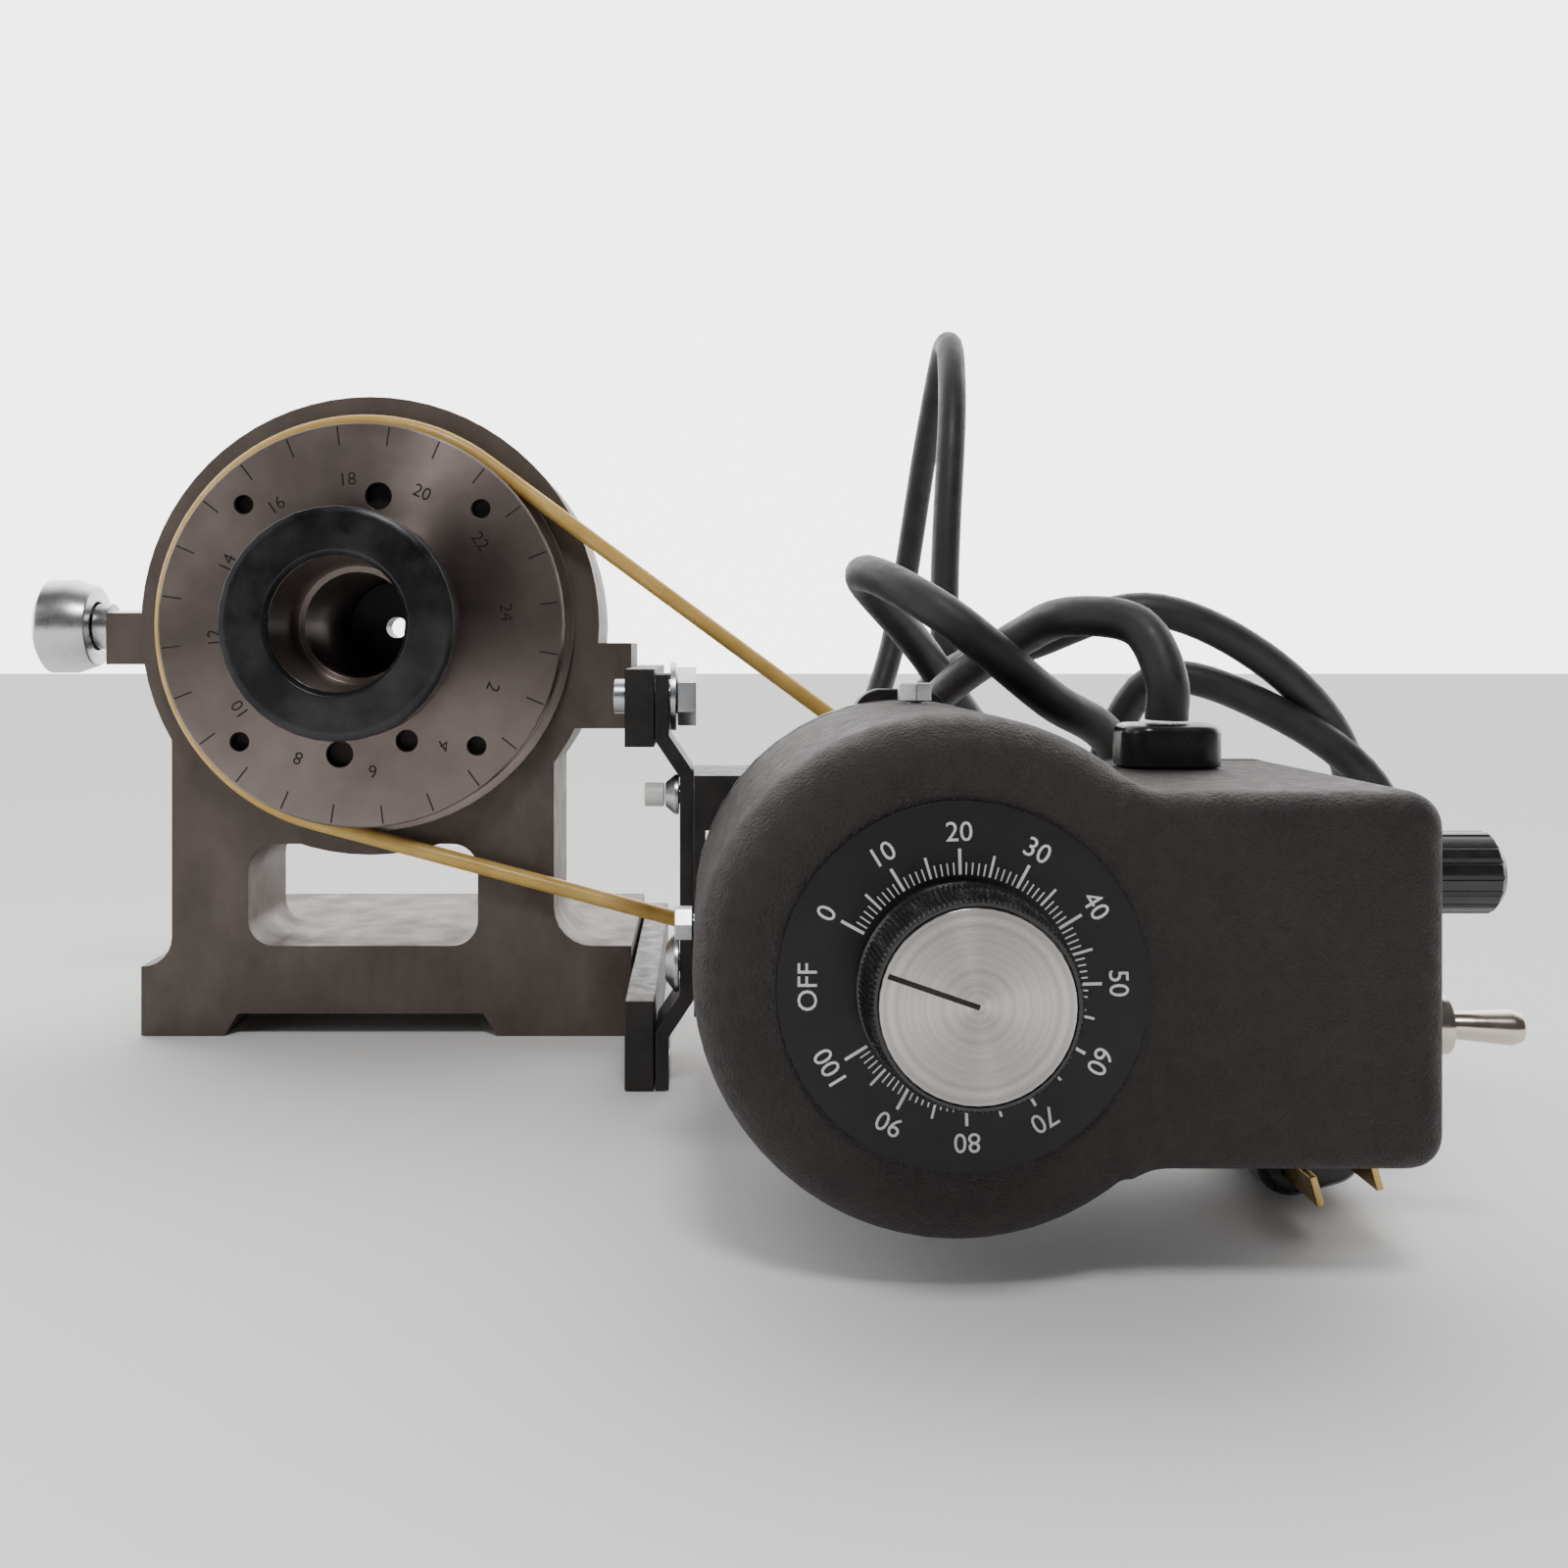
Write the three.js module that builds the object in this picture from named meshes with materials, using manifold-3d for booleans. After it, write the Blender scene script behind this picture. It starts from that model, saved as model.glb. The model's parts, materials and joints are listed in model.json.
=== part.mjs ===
// A motorised 5C collet index head: a cast head with a numbered index plate and a plunger, turned by a
// gearmotor through a round belt, with a variable-transformer speed controller on the same bracket.
// Millimetres, +Z up. While it is built, X = 0 is the spindle axis, Y = 0 the belt plane and Z = 0 the bench;
// the last lines move the whole model so that its origin is the bottom centre of everything but the cord.
import * as THREE from "three";
import { mergeVertices } from "three/addons/utils/BufferGeometryUtils.js";
import Module from "manifold-3d";

const wasm = await Module();
wasm.setup();

// ---------------------------------------------------------------- driving dimensions
const GAP = 0.3; // between pieces that touch
const OVERCUT = 1; // how far a cutting tool runs past the face that it cuts

// Head
const SPINDLE_HEIGHT = 127; // a 5.000 inch centre height
const COLLET_BORE = 31.75; // a 5C collet body
const COLLET_SEAT = 3; // how far in front of the index plate the bore widens
const COLLET_STEP = 1.9;
const HEAD_RADIUS = 71;
const HEAD_FRONT = 6;
const HEAD_DEPTH = 44;
const UPRIGHT_LEFT = -61.5;
const UPRIGHT_RIGHT = 57;
const BASE_LEFT = -71;
const BASE_RIGHT = 81;
const BASE_DEPTH = 103;
const BASE_TOP = 27.8;
const FOOT_TOP = 21.4; // the ledge beside the upright
const RECESS = { left: -41, right: 35, height: 6.8, slope: 5 };
const WINDOW = { left: -37.8, right: 33.4, behind: 3.4, corner: 8 }; // its top reaches behind the disc
const LUG = { bottom: -31.8, top: -5.3 }; // heights from the spindle axis
const FILLETS = { ledge: 9, base: 12, lug: 6 }; // where the upright meets each of them
const CUP_RADIUS = 60;
const CUP_DEPTH = 21.2;

// Spindle and what it carries
const SPINDLE_RADIUS = 22.5;
const SPINDLE_STUB = 3.7; // how far it stands out behind the collar
const FLANGE_RADIUS = 28;
const BUSH_WALL = 4.2;
const NOSE = {
  radius: 33.3,
  front: -40.5,
  depth: 14,
  mouth: 20.7,
  wall: 2.3, // of the spindle's nose, inside the ring
  step: 1.3,
  lip: 2.2,
  chamfer: 1.4,
};
const PLATE = { radius: 61.2, thick: 5, edge: 0.6, belt_clearance: 0.5 };
const BELT_DIAMETER = 5;
const BELT_RADIUS = 62.2; // of the belt's centreline on the spindle pulley
const PULLEY_RIM = 1.3; // past the belt's centreline
const PULLEY_CLEARANCE = 1.2; // in front of the head
const NOTCHES = 24;
const INDEX_RING = { clearance: 5, hub: 34, front: 10, rear: 24, notch_width: 6.8, notch_depth: 5 };
const COLLAR = { radius: 32, thick: 8 };
const DRAW_NUT = { radius: 30, length: 22, tube: 14, cavity: 13, web: 10, hole: 7, flutes: 16, edge: 1.5 };

// Index plunger, parked clear of the notches
const PLUNGER_Y = 17;
const PLUNGER_TRAVEL = 4;
const PLUNGER_BOSS = { out: 12, below: 12, above: 4, half_depth: 8 };
const SLEEVE = { radius: 7.15, spare: 0.6, shank: 5, bore: 3.4, past: 2 };
const PIN_RADIUS = 3;
const KNOB = { radius: 14.75, length: 16.4, neck: 12.6, skirt: 5, skirt_gap: 0.5, socket: 9, stand_off: 0.4 };

// Bracket
const BAR = { thick: 8, front: -55, bottom: -33.7, top: -12.6, offset: 1 }; // heights from the spindle axis
const FOOT_BAR_TOP = 24.4;
const STRIP = {
  width: 25,
  thick: 3.7,
  above_bolt: 6.3,
  below_bolt: 11.7,
  jog: 6.7,
  lower: 16,
  bend: 10,
  lean: 1.5,
};
const CLAMP_BOLT = { shank: 4.76, head: 5.2, across: 14.3, rise: 13.4, end: -3.5 };
const WASHER = { radius: 9.5, thick: 1.6 };
const CHANNEL = { web: 3, clearance: 1.1, front: -80, rear: -44, beyond: 4, lip: 14, lip_length: 16 };

// Drive
const MOTOR_X = 146;
const MOTOR_Z = 56.8;
const MOTOR_RADIUS = 26.7;
const MOTOR_SPLIT = -50;
const GEARBOX_REAR = -18;
const MOTOR_SHAFT_RADIUS = 4;
const MOTOR_BELT_RADIUS = 32;
const MOTOR_PULLEY = { rim: 2.5, half_width: 9, screw_y: -6, screw: 1.5 };

// Controller
const CASE_X = 150.6;
const CASE_Z = 58.9;
const CASE_RADIUS = 49.2;
const CASE_FRONT = -195;
const CASE_REAR = -110;
const CASE_RIGHT = 240.2;
const CASE_HALF = 35; // half the height of the square end
const CASE_WALL = 2.2;
const CASE_ROUND = 10; // the front edge of the round end
const CASE_CORNER = 6.5; // the corners and front edge of the square end
const CASE_NECK = 10; // the fillets where the two ends meet
const BACK_PLATE = 3.7;
const TAB = { width: 12, thick: 2.6, depth: 27 };
const ADAPTER = { width: 23, thick: 5.6, above: 51.5, below: 24.9, corner: 7, screw_drop: 9, screw: 2.4 };
const COVER_SCREW = { shank: 2, across: 7, head: 4, length: 8, inset: 20 };
const DIAL_RADIUS = 33.8;
const DIAL_THICK = 1;
const CONTROL_SHAFT_RADIUS = 3.2;
const CONTROL_KNOB = { base: 19.6, face: 17.9, depth: 15.4, blind: 5, insert: 17, insert_thick: 1.2 };
const CORE = { clearance: 7.7, inner: 20, front: 27, rear: 24 }; // from the front and the rear of the case
const WINDING_WALL = 3;
const BRUSH = { arm_width: 8, arm_thick: 3, hub: 7, length: 4, width: 6, height: 4 };
const FUSE = { inset: 27, drop: 18.2, flange: 9.2, rim: 2.4, body: 6.6, bore: 3.7, inside: 27 };
const FUSE_CAP = { radius: 8.2, length: 17, socket: 9, edge: 1.5, ribs: 16 };
const TOGGLE = { inset: 27, rise: 21.6, bush: 6.1, reach: 10.4, half_width: 8, half_height: 6, inside: 27 };
const TOGGLE_NUT = { across: 14.3, thick: 2.4 };
const BAT = { length: 15.2, base: 2.6, tip: 3.5, tilt: 12 };
const RELIEF = { from_right: 34.2, from_rear: 23, length: 22, width: 17, height: 9.4, corner: 6, stem: 5.6 };

// Cord and plug
const CORD_DIAMETER = 9.4;
const PLUG = { x: 236, y: -139, z: 10, length: 38, width: 24, height: 17, roll: 15 };
const BLADE = { spacing: 12.7, width: 6.35, thick: 1.5, length: 18 };

// ---------------------------------------------------------------- worked out from them
const HEAD_REAR = HEAD_FRONT + HEAD_DEPTH;
const BASE_REAR = HEAD_FRONT + BASE_DEPTH;
const CUP_FLOOR = HEAD_FRONT + CUP_DEPTH;
const BORE_RADIUS = COLLET_BORE / 2;
const BUSH_BORE = SPINDLE_RADIUS + GAP;
const BUSH_OUTER = BUSH_BORE + BUSH_WALL;
const HEAD_BORE = BUSH_OUTER + GAP;
const GROOVE = BELT_DIAMETER / 2 + 2 * GAP;
const COLLAR_FRONT = HEAD_REAR + GAP;
const COLLAR_REAR = COLLAR_FRONT + COLLAR.thick;
const SPINDLE_FRONT = NOSE.front + NOSE.lip + GAP;
const SPINDLE_REAR = COLLAR_REAR + SPINDLE_STUB;
const NOSE_REAR = NOSE.front + NOSE.depth;
const PLATE_REAR = -BELT_DIAMETER / 2 - PLATE.belt_clearance;
const PLATE_FRONT = PLATE_REAR - PLATE.thick;
const PULLEY_FRONT = PLATE_REAR + GAP;
const PULLEY_REAR = HEAD_FRONT - PULLEY_CLEARANCE;
const RING_RADIUS = CUP_RADIUS - INDEX_RING.clearance;
const BOSS_LEFT = -HEAD_RADIUS - PLUNGER_BOSS.out;
const LUG_BOTTOM = SPINDLE_HEIGHT + LUG.bottom;
const LUG_TOP = SPINDLE_HEIGHT + LUG.top;
const BAR_BOTTOM = SPINDLE_HEIGHT + BAR.bottom;
const BAR_TOP = SPINDLE_HEIGHT + BAR.top;
const BOLT_Z = BAR_BOTTOM + CLAMP_BOLT.rise;
const BAR_LEFT = BASE_RIGHT + BAR.offset;
const BAR_RIGHT = BAR_LEFT + BAR.thick;
const STRIP_FOOT = BAR_RIGHT + GAP; // left face of the strip where it lies on the bars
const STRIP_FACE = STRIP_FOOT + STRIP.jog; // left face of the strip between them
const STRIP_Y = BAR.front + STRIP.width / 2;
const WEB_LEFT = STRIP_FACE + STRIP.thick + GAP;
const BRACKET_SCREW_Y = CHANNEL.rear - 5.5;
const CHANNEL_HALF = MOTOR_RADIUS + CHANNEL.clearance + CHANNEL.web;
const CHANNEL_BOTTOM = MOTOR_Z - CHANNEL_HALF;
const CHANNEL_TOP = MOTOR_Z + CHANNEL_HALF;
const CASE_BOTTOM = CASE_Z - CASE_HALF;
const CASE_TOP = CASE_Z + CASE_HALF;
const BACK_FRONT = CASE_REAR + GAP;
const BACK_REAR = BACK_FRONT + BACK_PLATE;
const ADAPTER_FRONT = BACK_REAR + GAP;
const ADAPTER_REAR = ADAPTER_FRONT + ADAPTER.thick;
const MOTOR_FRONT = ADAPTER_REAR + GAP;
const COVER_SCREW_Y = CASE_REAR - COVER_SCREW.inset;
const CORE_FRONT = CASE_FRONT + CORE.front;
const CORE_REAR = CASE_REAR - CORE.rear;
const CORE_RADIUS = CASE_RADIUS - CASE_WALL - CORE.clearance - WINDING_WALL - GAP;
const WINDING_FRONT = CORE_FRONT - GAP - WINDING_WALL;
const FUSE_Y = CASE_FRONT + FUSE.inset;
const FUSE_Z = CASE_TOP - FUSE.drop;
const TOGGLE_Y = CASE_FRONT + TOGGLE.inset;
const TOGGLE_Z = CASE_BOTTOM + TOGGLE.rise;
const RELIEF_X = CASE_RIGHT - RELIEF.from_right;
const RELIEF_Y = CASE_REAR - RELIEF.from_rear;
const TAU = 2 * Math.PI;

// ---------------------------------------------------------------- shapes and solids
// A closed three.js geometry as a solid that can be joined and cut.
function solid(geometry) {
  const bare = geometry.clone();
  bare.deleteAttribute("normal");
  bare.deleteAttribute("uv");
  const merged = mergeVertices(bare, 1e-4);
  return new wasm.Manifold(
    new wasm.Mesh({
      numProp: 3,
      vertProperties: merged.attributes.position.array,
      triVerts: new Uint32Array(merged.index.array),
    }),
  );
}

function geometryOf(body) {
  const mesh = body.getMesh();
  const positions = new THREE.BufferAttribute(new Float32Array(mesh.vertProperties), 3);
  const geometry = new THREE.BufferGeometry().setAttribute("position", positions);
  geometry.setIndex(new THREE.BufferAttribute(new Uint32Array(mesh.triVerts), 1));
  const flat = geometry.toNonIndexed();
  flat.computeVertexNormals();
  return flat;
}

function join(first, ...others) {
  return others.reduce((sum, next) => sum.add(next), first);
}

function cut(first, ...tools) {
  return tools.reduce((rest, tool) => rest.subtract(tool), first);
}

function box(x0, x1, y0, y1, z0, z1) {
  const geometry = new THREE.BoxGeometry(x1 - x0, y1 - y0, z1 - z0);
  geometry.translate((x0 + x1) / 2, (y0 + y1) / 2, (z0 + z1) / 2);
  return solid(geometry);
}

// Cylinders along each axis, from one end to the other; a second radius makes a taper.
function rodY(x, z, radius, y0, y1, sides = 32, endRadius = radius) {
  const geometry = new THREE.CylinderGeometry(endRadius, radius, y1 - y0, sides);
  geometry.translate(x, (y0 + y1) / 2, z);
  return solid(geometry);
}

function rodX(y, z, radius, x0, x1, sides = 24, endRadius = radius) {
  const geometry = new THREE.CylinderGeometry(endRadius, radius, x1 - x0, sides);
  geometry.rotateZ(-Math.PI / 2);
  geometry.translate((x0 + x1) / 2, y, z);
  return solid(geometry);
}

function rodZ(x, y, radius, z0, z1, sides = 24, endRadius = radius) {
  const geometry = new THREE.CylinderGeometry(endRadius, radius, z1 - z0, sides);
  geometry.rotateX(Math.PI / 2);
  geometry.translate(x, y, (z0 + z1) / 2);
  return solid(geometry);
}

// A closed profile of [radius, y] turned about an axis along Y through (x, z).
function turned(x, z, profile, sides = 36) {
  const points = profile.map(([radius, y]) => new THREE.Vector2(radius, y));
  if (THREE.ShapeUtils.area(points) < 0) points.reverse();
  if (!points[0].equals(points[points.length - 1])) points.push(points[0].clone());
  const geometry = new THREE.LatheGeometry(points, sides);
  geometry.translate(x, 0, z);
  return solid(geometry);
}

// The same about an axis along X, with [radius, x] and the axis through (y, z).
function turnedX(y, z, profile, sides = 24) {
  const points = profile.map(([radius, x]) => new THREE.Vector2(radius, x));
  if (THREE.ShapeUtils.area(points) < 0) points.reverse();
  if (!points[0].equals(points[points.length - 1])) points.push(points[0].clone());
  const geometry = new THREE.LatheGeometry(points, sides);
  geometry.rotateZ(-Math.PI / 2);
  geometry.translate(0, y, z);
  return solid(geometry);
}

// An outline in X and Z, given depth along Y.
function slab(shape, y0, y1, curveSegments = 12) {
  const geometry = new THREE.ExtrudeGeometry(shape, { depth: y1 - y0, bevelEnabled: false, curveSegments });
  geometry.rotateX(Math.PI / 2);
  geometry.translate(0, y1, 0);
  return solid(geometry);
}

// A rectangle with rounded corners.
function rounded(left, right, bottom, top, corner) {
  const shape = new THREE.Shape();
  shape.moveTo(left + corner, bottom);
  shape.absarc(right - corner, bottom + corner, corner, -Math.PI / 2, 0, false);
  shape.absarc(right - corner, top - corner, corner, 0, Math.PI / 2, false);
  shape.absarc(left + corner, top - corner, corner, Math.PI / 2, Math.PI, false);
  shape.absarc(left + corner, bottom + corner, corner, Math.PI, 1.5 * Math.PI, false);
  return shape;
}

function polygon(points) {
  return new THREE.Shape(points.map(([u, v]) => new THREE.Vector2(u, v)));
}

// The triangle between two faces that meet at a right angle, less a quarter circle: a concave fillet.
function fillet(x, z, toRight, toTop, radius, y0, y1) {
  const sx = toRight ? 1 : -1;
  const sz = toTop ? 1 : -1;
  const points = [[x - sx, z - sz], [x + sx * radius, z - sz]];
  for (let i = 0; i <= 6; i += 1) {
    const turn = (i / 6) * (Math.PI / 2);
    points.push([x + sx * radius * (1 - Math.sin(turn)), z + sz * radius * (1 - Math.cos(turn))]);
  }
  points.push([x - sx, z + sz * radius]);
  const shape = polygon(points);
  if (THREE.ShapeUtils.isClockWise(shape.getPoints())) return slab(polygon([...points].reverse()), y0, y1);
  return slab(shape, y0, y1);
}

// ---------------------------------------------------------------- the model
const model = new THREE.Group();
const body = new THREE.Group();
model.add(body);

const FINISHES = {
  cast_iron: { color: 0x4a423c, roughness: 0.62, metalness: 0.75 },
  machined_steel: { color: 0x6e6660, roughness: 0.38, metalness: 0.9 },
  black_oxide: { color: 0x26262a, roughness: 0.42, metalness: 0.7 },
  bronze: { color: 0x8a6a3a, roughness: 0.4, metalness: 0.9 },
  zinc: { color: 0xb8bcc0, roughness: 0.32, metalness: 0.95 },
  bright_aluminium: { color: 0xc8c6c2, roughness: 0.3, metalness: 0.95 },
  blackened_steel: { color: 0x1c1b1b, roughness: 0.55, metalness: 0.6 },
  belt_urethane: { color: 0xc9a44e, roughness: 0.35, metalness: 0 },
  wrinkle_black: { color: 0x2a2524, roughness: 0.75, metalness: 0.1 },
  dial_black: { color: 0x101012, roughness: 0.4, metalness: 0.1 },
  moulded_black: { color: 0x141416, roughness: 0.3, metalness: 0 },
  nickel: { color: 0xb9ada0, roughness: 0.22, metalness: 1 },
  brass: { color: 0xb08d45, roughness: 0.35, metalness: 0.95 },
  copper_winding: { color: 0x8a4a22, roughness: 0.45, metalness: 0.8 },
  nylon: { color: 0xd8d6d0, roughness: 0.5, metalness: 0 },
  cord_rubber: { color: 0x1a1a1b, roughness: 0.7, metalness: 0 },
  glass: { color: 0xdfe6e6, roughness: 0.1, metalness: 0 },
};

function place(name, finish, geometry, parent = body) {
  const mesh = new THREE.Mesh(geometry, new THREE.MeshStandardMaterial(FINISHES[finish]));
  mesh.name = name;
  parent.add(mesh);
  return mesh;
}

function add(name, finish, made) {
  return place(name, finish, geometryOf(made));
}

// ---------------------------------------------------------------- head
function headCasting() {
  const disc = rodY(0, SPINDLE_HEIGHT, HEAD_RADIUS, HEAD_FRONT, HEAD_REAR, 72);
  const upright = box(UPRIGHT_LEFT, UPRIGHT_RIGHT, HEAD_FRONT, HEAD_REAR, BASE_TOP - 1, SPINDLE_HEIGHT);
  const windowTop = SPINDLE_HEIGHT - HEAD_RADIUS + WINDOW.behind;
  const opening = rounded(WINDOW.left, WINDOW.right, BASE_TOP, windowTop, WINDOW.corner);
  const window = slab(opening, HEAD_FRONT - OVERCUT, HEAD_REAR + OVERCUT, 4);
  const base = box(UPRIGHT_LEFT, BASE_RIGHT, HEAD_FRONT, BASE_REAR, 0, BASE_TOP);
  const foot = box(BASE_LEFT, UPRIGHT_LEFT + 1, HEAD_FRONT, BASE_REAR, 0, FOOT_TOP);
  const lug = box(0, BASE_RIGHT, HEAD_FRONT, HEAD_REAR, LUG_BOTTOM, LUG_TOP);
  const boss = PLUNGER_BOSS;
  const bossDepth = [PLUNGER_Y - boss.half_depth, PLUNGER_Y + boss.half_depth];
  const bossHeight = [SPINDLE_HEIGHT - boss.below, SPINDLE_HEIGHT + boss.above];
  const ear = box(BOSS_LEFT, -CUP_RADIUS, ...bossDepth, ...bossHeight);
  const fillets = [
    fillet(UPRIGHT_LEFT, FOOT_TOP, false, true, FILLETS.ledge, HEAD_FRONT, HEAD_REAR),
    fillet(UPRIGHT_RIGHT, BASE_TOP, true, true, FILLETS.base, HEAD_FRONT, HEAD_REAR),
    fillet(UPRIGHT_RIGHT, LUG_BOTTOM, true, false, FILLETS.lug, HEAD_FRONT, HEAD_REAR),
  ];
  const blank = join(upright.subtract(window), disc, base, foot, lug, ear, ...fillets);
  const slope = RECESS.slope;
  const under = polygon([
    [RECESS.left - slope, -OVERCUT],
    [RECESS.right + slope, -OVERCUT],
    [RECESS.right + slope * 0.85, 0],
    [RECESS.right, RECESS.height],
    [RECESS.left, RECESS.height],
    [RECESS.left - slope * 0.85, 0],
  ]);
  const cup = rodY(0, SPINDLE_HEIGHT, CUP_RADIUS, HEAD_FRONT - OVERCUT, CUP_FLOOR, 48);
  const bore = rodY(0, SPINDLE_HEIGHT, HEAD_BORE, CUP_FLOOR - OVERCUT, HEAD_REAR + OVERCUT, 36);
  const shankHole = SLEEVE.shank + GAP;
  const plungerHole = rodX(PLUNGER_Y, SPINDLE_HEIGHT, shankHole, BOSS_LEFT - OVERCUT, -CUP_RADIUS + 3);
  return cut(blank, slab(under, HEAD_FRONT - OVERCUT, BASE_REAR + OVERCUT), cup, bore, plungerHole);
}

function bush(front, rear) {
  const wall = [[BUSH_BORE, front], [BUSH_OUTER, front], [BUSH_OUTER, rear], [BUSH_BORE, rear]];
  return turned(0, SPINDLE_HEIGHT, wall);
}

function spindle() {
  const threadRadius = NOSE.mouth + NOSE.wall;
  const seat = PLATE_FRONT - COLLET_SEAT;
  return turned(0, SPINDLE_HEIGHT, [
    [NOSE.mouth - NOSE.step, SPINDLE_FRONT],
    [threadRadius, SPINDLE_FRONT],
    [threadRadius, NOSE_REAR + GAP],
    [FLANGE_RADIUS, NOSE_REAR + GAP],
    [FLANGE_RADIUS, PLATE_FRONT - GAP],
    [SPINDLE_RADIUS, PLATE_FRONT - GAP],
    [SPINDLE_RADIUS, SPINDLE_REAR],
    [BORE_RADIUS, SPINDLE_REAR],
    [BORE_RADIUS, seat],
    [BORE_RADIUS + COLLET_STEP, seat],
  ]);
}

function noseRing() {
  const outer = NOSE.radius;
  const thread = NOSE.mouth + NOSE.wall + GAP;
  return turned(0, SPINDLE_HEIGHT, [
    [NOSE.mouth, NOSE.front],
    [outer - 2 * NOSE.chamfer, NOSE.front],
    [outer, NOSE.front + NOSE.chamfer],
    [outer, NOSE_REAR - 1],
    [outer - 1, NOSE_REAR],
    [thread, NOSE_REAR],
    [thread, NOSE.front + NOSE.lip],
    [NOSE.mouth - NOSE.step, NOSE.front + NOSE.lip],
    [NOSE.mouth - NOSE.step, NOSE.front + NOSE.chamfer],
  ]);
}

// Holes through the index plate: [radius of the circle it is on, angle in degrees, hole radius].
const PLATE_HOLES = [
  [50.5, 44, 3], [50.5, 134, 3], [50.5, -136, 3], [50.5, -46, 3],
  [39.3, 82, 4.15], [39.3, -99, 4.15], [37.5, -68, 3.4],
];

function indexPlate() {
  const disc = turned(0, SPINDLE_HEIGHT, [
    [BUSH_BORE, PLATE_FRONT],
    [PLATE.radius - PLATE.edge, PLATE_FRONT],
    [PLATE.radius, PLATE_FRONT + PLATE.edge],
    [PLATE.radius, PLATE_REAR],
    [BUSH_BORE, PLATE_REAR],
  ], 72);
  const holes = PLATE_HOLES.map(([circle, angle, radius]) => {
    const turn = THREE.MathUtils.degToRad(angle);
    const x = circle * Math.cos(turn);
    const z = SPINDLE_HEIGHT + circle * Math.sin(turn);
    return rodY(x, z, radius, PLATE_FRONT - OVERCUT, PLATE_REAR + OVERCUT, 16);
  });
  return cut(disc, ...holes);
}

const GROOVE_STEPS = 4;

// A wheel with a round groove for the belt: front face, rear face, bore and rim radius.
function grooved(x, z, beltRadius, front, rear, bore, rim, sides) {
  const profile = [[bore, front]];
  const reach = Math.min(GROOVE - 0.1, -front);
  const start = Math.asin(reach / GROOVE);
  const end = Math.PI / 2;
  if (-front > GROOVE) profile.push([rim, front], [rim, -GROOVE + 0.1]);
  for (let i = 0; i <= GROOVE_STEPS; i += 1) {
    const turn = -start + ((start + end) * i) / GROOVE_STEPS;
    profile.push([beltRadius - GROOVE * Math.cos(turn), GROOVE * Math.sin(turn)]);
  }
  profile.push([rim, GROOVE], [rim, rear], [bore, rear]);
  return turned(x, z, profile, sides);
}

function indexRing() {
  const ring = INDEX_RING;
  const front = PULLEY_REAR + GAP;
  const wheel = turned(0, SPINDLE_HEIGHT, [
    [BUSH_BORE, front],
    [ring.hub, front],
    [ring.hub, ring.front],
    [RING_RADIUS, ring.front],
    [RING_RADIUS, ring.rear],
    [BUSH_BORE, ring.rear],
  ], 48);
  const notches = [];
  for (let i = 0; i < NOTCHES; i += 1) {
    const tool = new THREE.BoxGeometry(2 * ring.notch_depth, ring.rear - ring.front + 2, ring.notch_width);
    tool.translate(RING_RADIUS, (ring.front + ring.rear) / 2, 0);
    tool.rotateY((i / NOTCHES) * TAU);
    tool.translate(0, 0, SPINDLE_HEIGHT);
    notches.push(solid(tool));
  }
  return cut(wheel, ...notches);
}

const COLLAR_SCREW = 2.5;

function thrustCollar() {
  const inner = BUSH_BORE;
  const ring = [
    [inner, COLLAR_FRONT],
    [COLLAR.radius, COLLAR_FRONT],
    [COLLAR.radius, COLLAR_REAR],
    [inner, COLLAR_REAR],
  ];
  const middle = (COLLAR_FRONT + COLLAR_REAR) / 2;
  const top = SPINDLE_HEIGHT + COLLAR.radius + OVERCUT;
  return turned(0, SPINDLE_HEIGHT, ring).subtract(rodZ(0, middle, COLLAR_SCREW + GAP, SPINDLE_HEIGHT, top));
}

function collarScrew() {
  const middle = (COLLAR_FRONT + COLLAR_REAR) / 2;
  const foot = SPINDLE_HEIGHT + SPINDLE_RADIUS + GAP + 0.3;
  const top = SPINDLE_HEIGHT + COLLAR.radius - 1;
  const socket = rodZ(0, middle, 1.4, top - 3, top + OVERCUT, 6);
  return rodZ(0, middle, COLLAR_SCREW, foot, top, 16).subtract(socket);
}

function drawNut() {
  const nut = DRAW_NUT;
  const front = SPINDLE_REAR + GAP;
  const webFront = front - nut.tube;
  const tubeRadius = BORE_RADIUS - GAP - 0.1;
  const body = turned(0, SPINDLE_HEIGHT, [
    [nut.hole / 2, webFront],
    [tubeRadius, webFront],
    [tubeRadius, front],
    [nut.radius - nut.edge, front],
    [nut.radius, front + nut.edge],
    [nut.radius, front + nut.length - nut.edge],
    [nut.radius - nut.edge, front + nut.length],
    [nut.cavity, front + nut.length],
    [nut.cavity, webFront + nut.web],
    [nut.hole / 2, webFront + nut.web],
  ]);
  const flutes = [];
  for (let i = 0; i < nut.flutes; i += 1) {
    const turn = (i / nut.flutes) * TAU;
    const x = (nut.radius + 1.6) * Math.cos(turn);
    const z = SPINDLE_HEIGHT + (nut.radius + 1.6) * Math.sin(turn);
    flutes.push(rodY(x, z, 2.6, front - OVERCUT, front + nut.length + OVERCUT, 6));
  }
  return cut(body, ...flutes);
}

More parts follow.
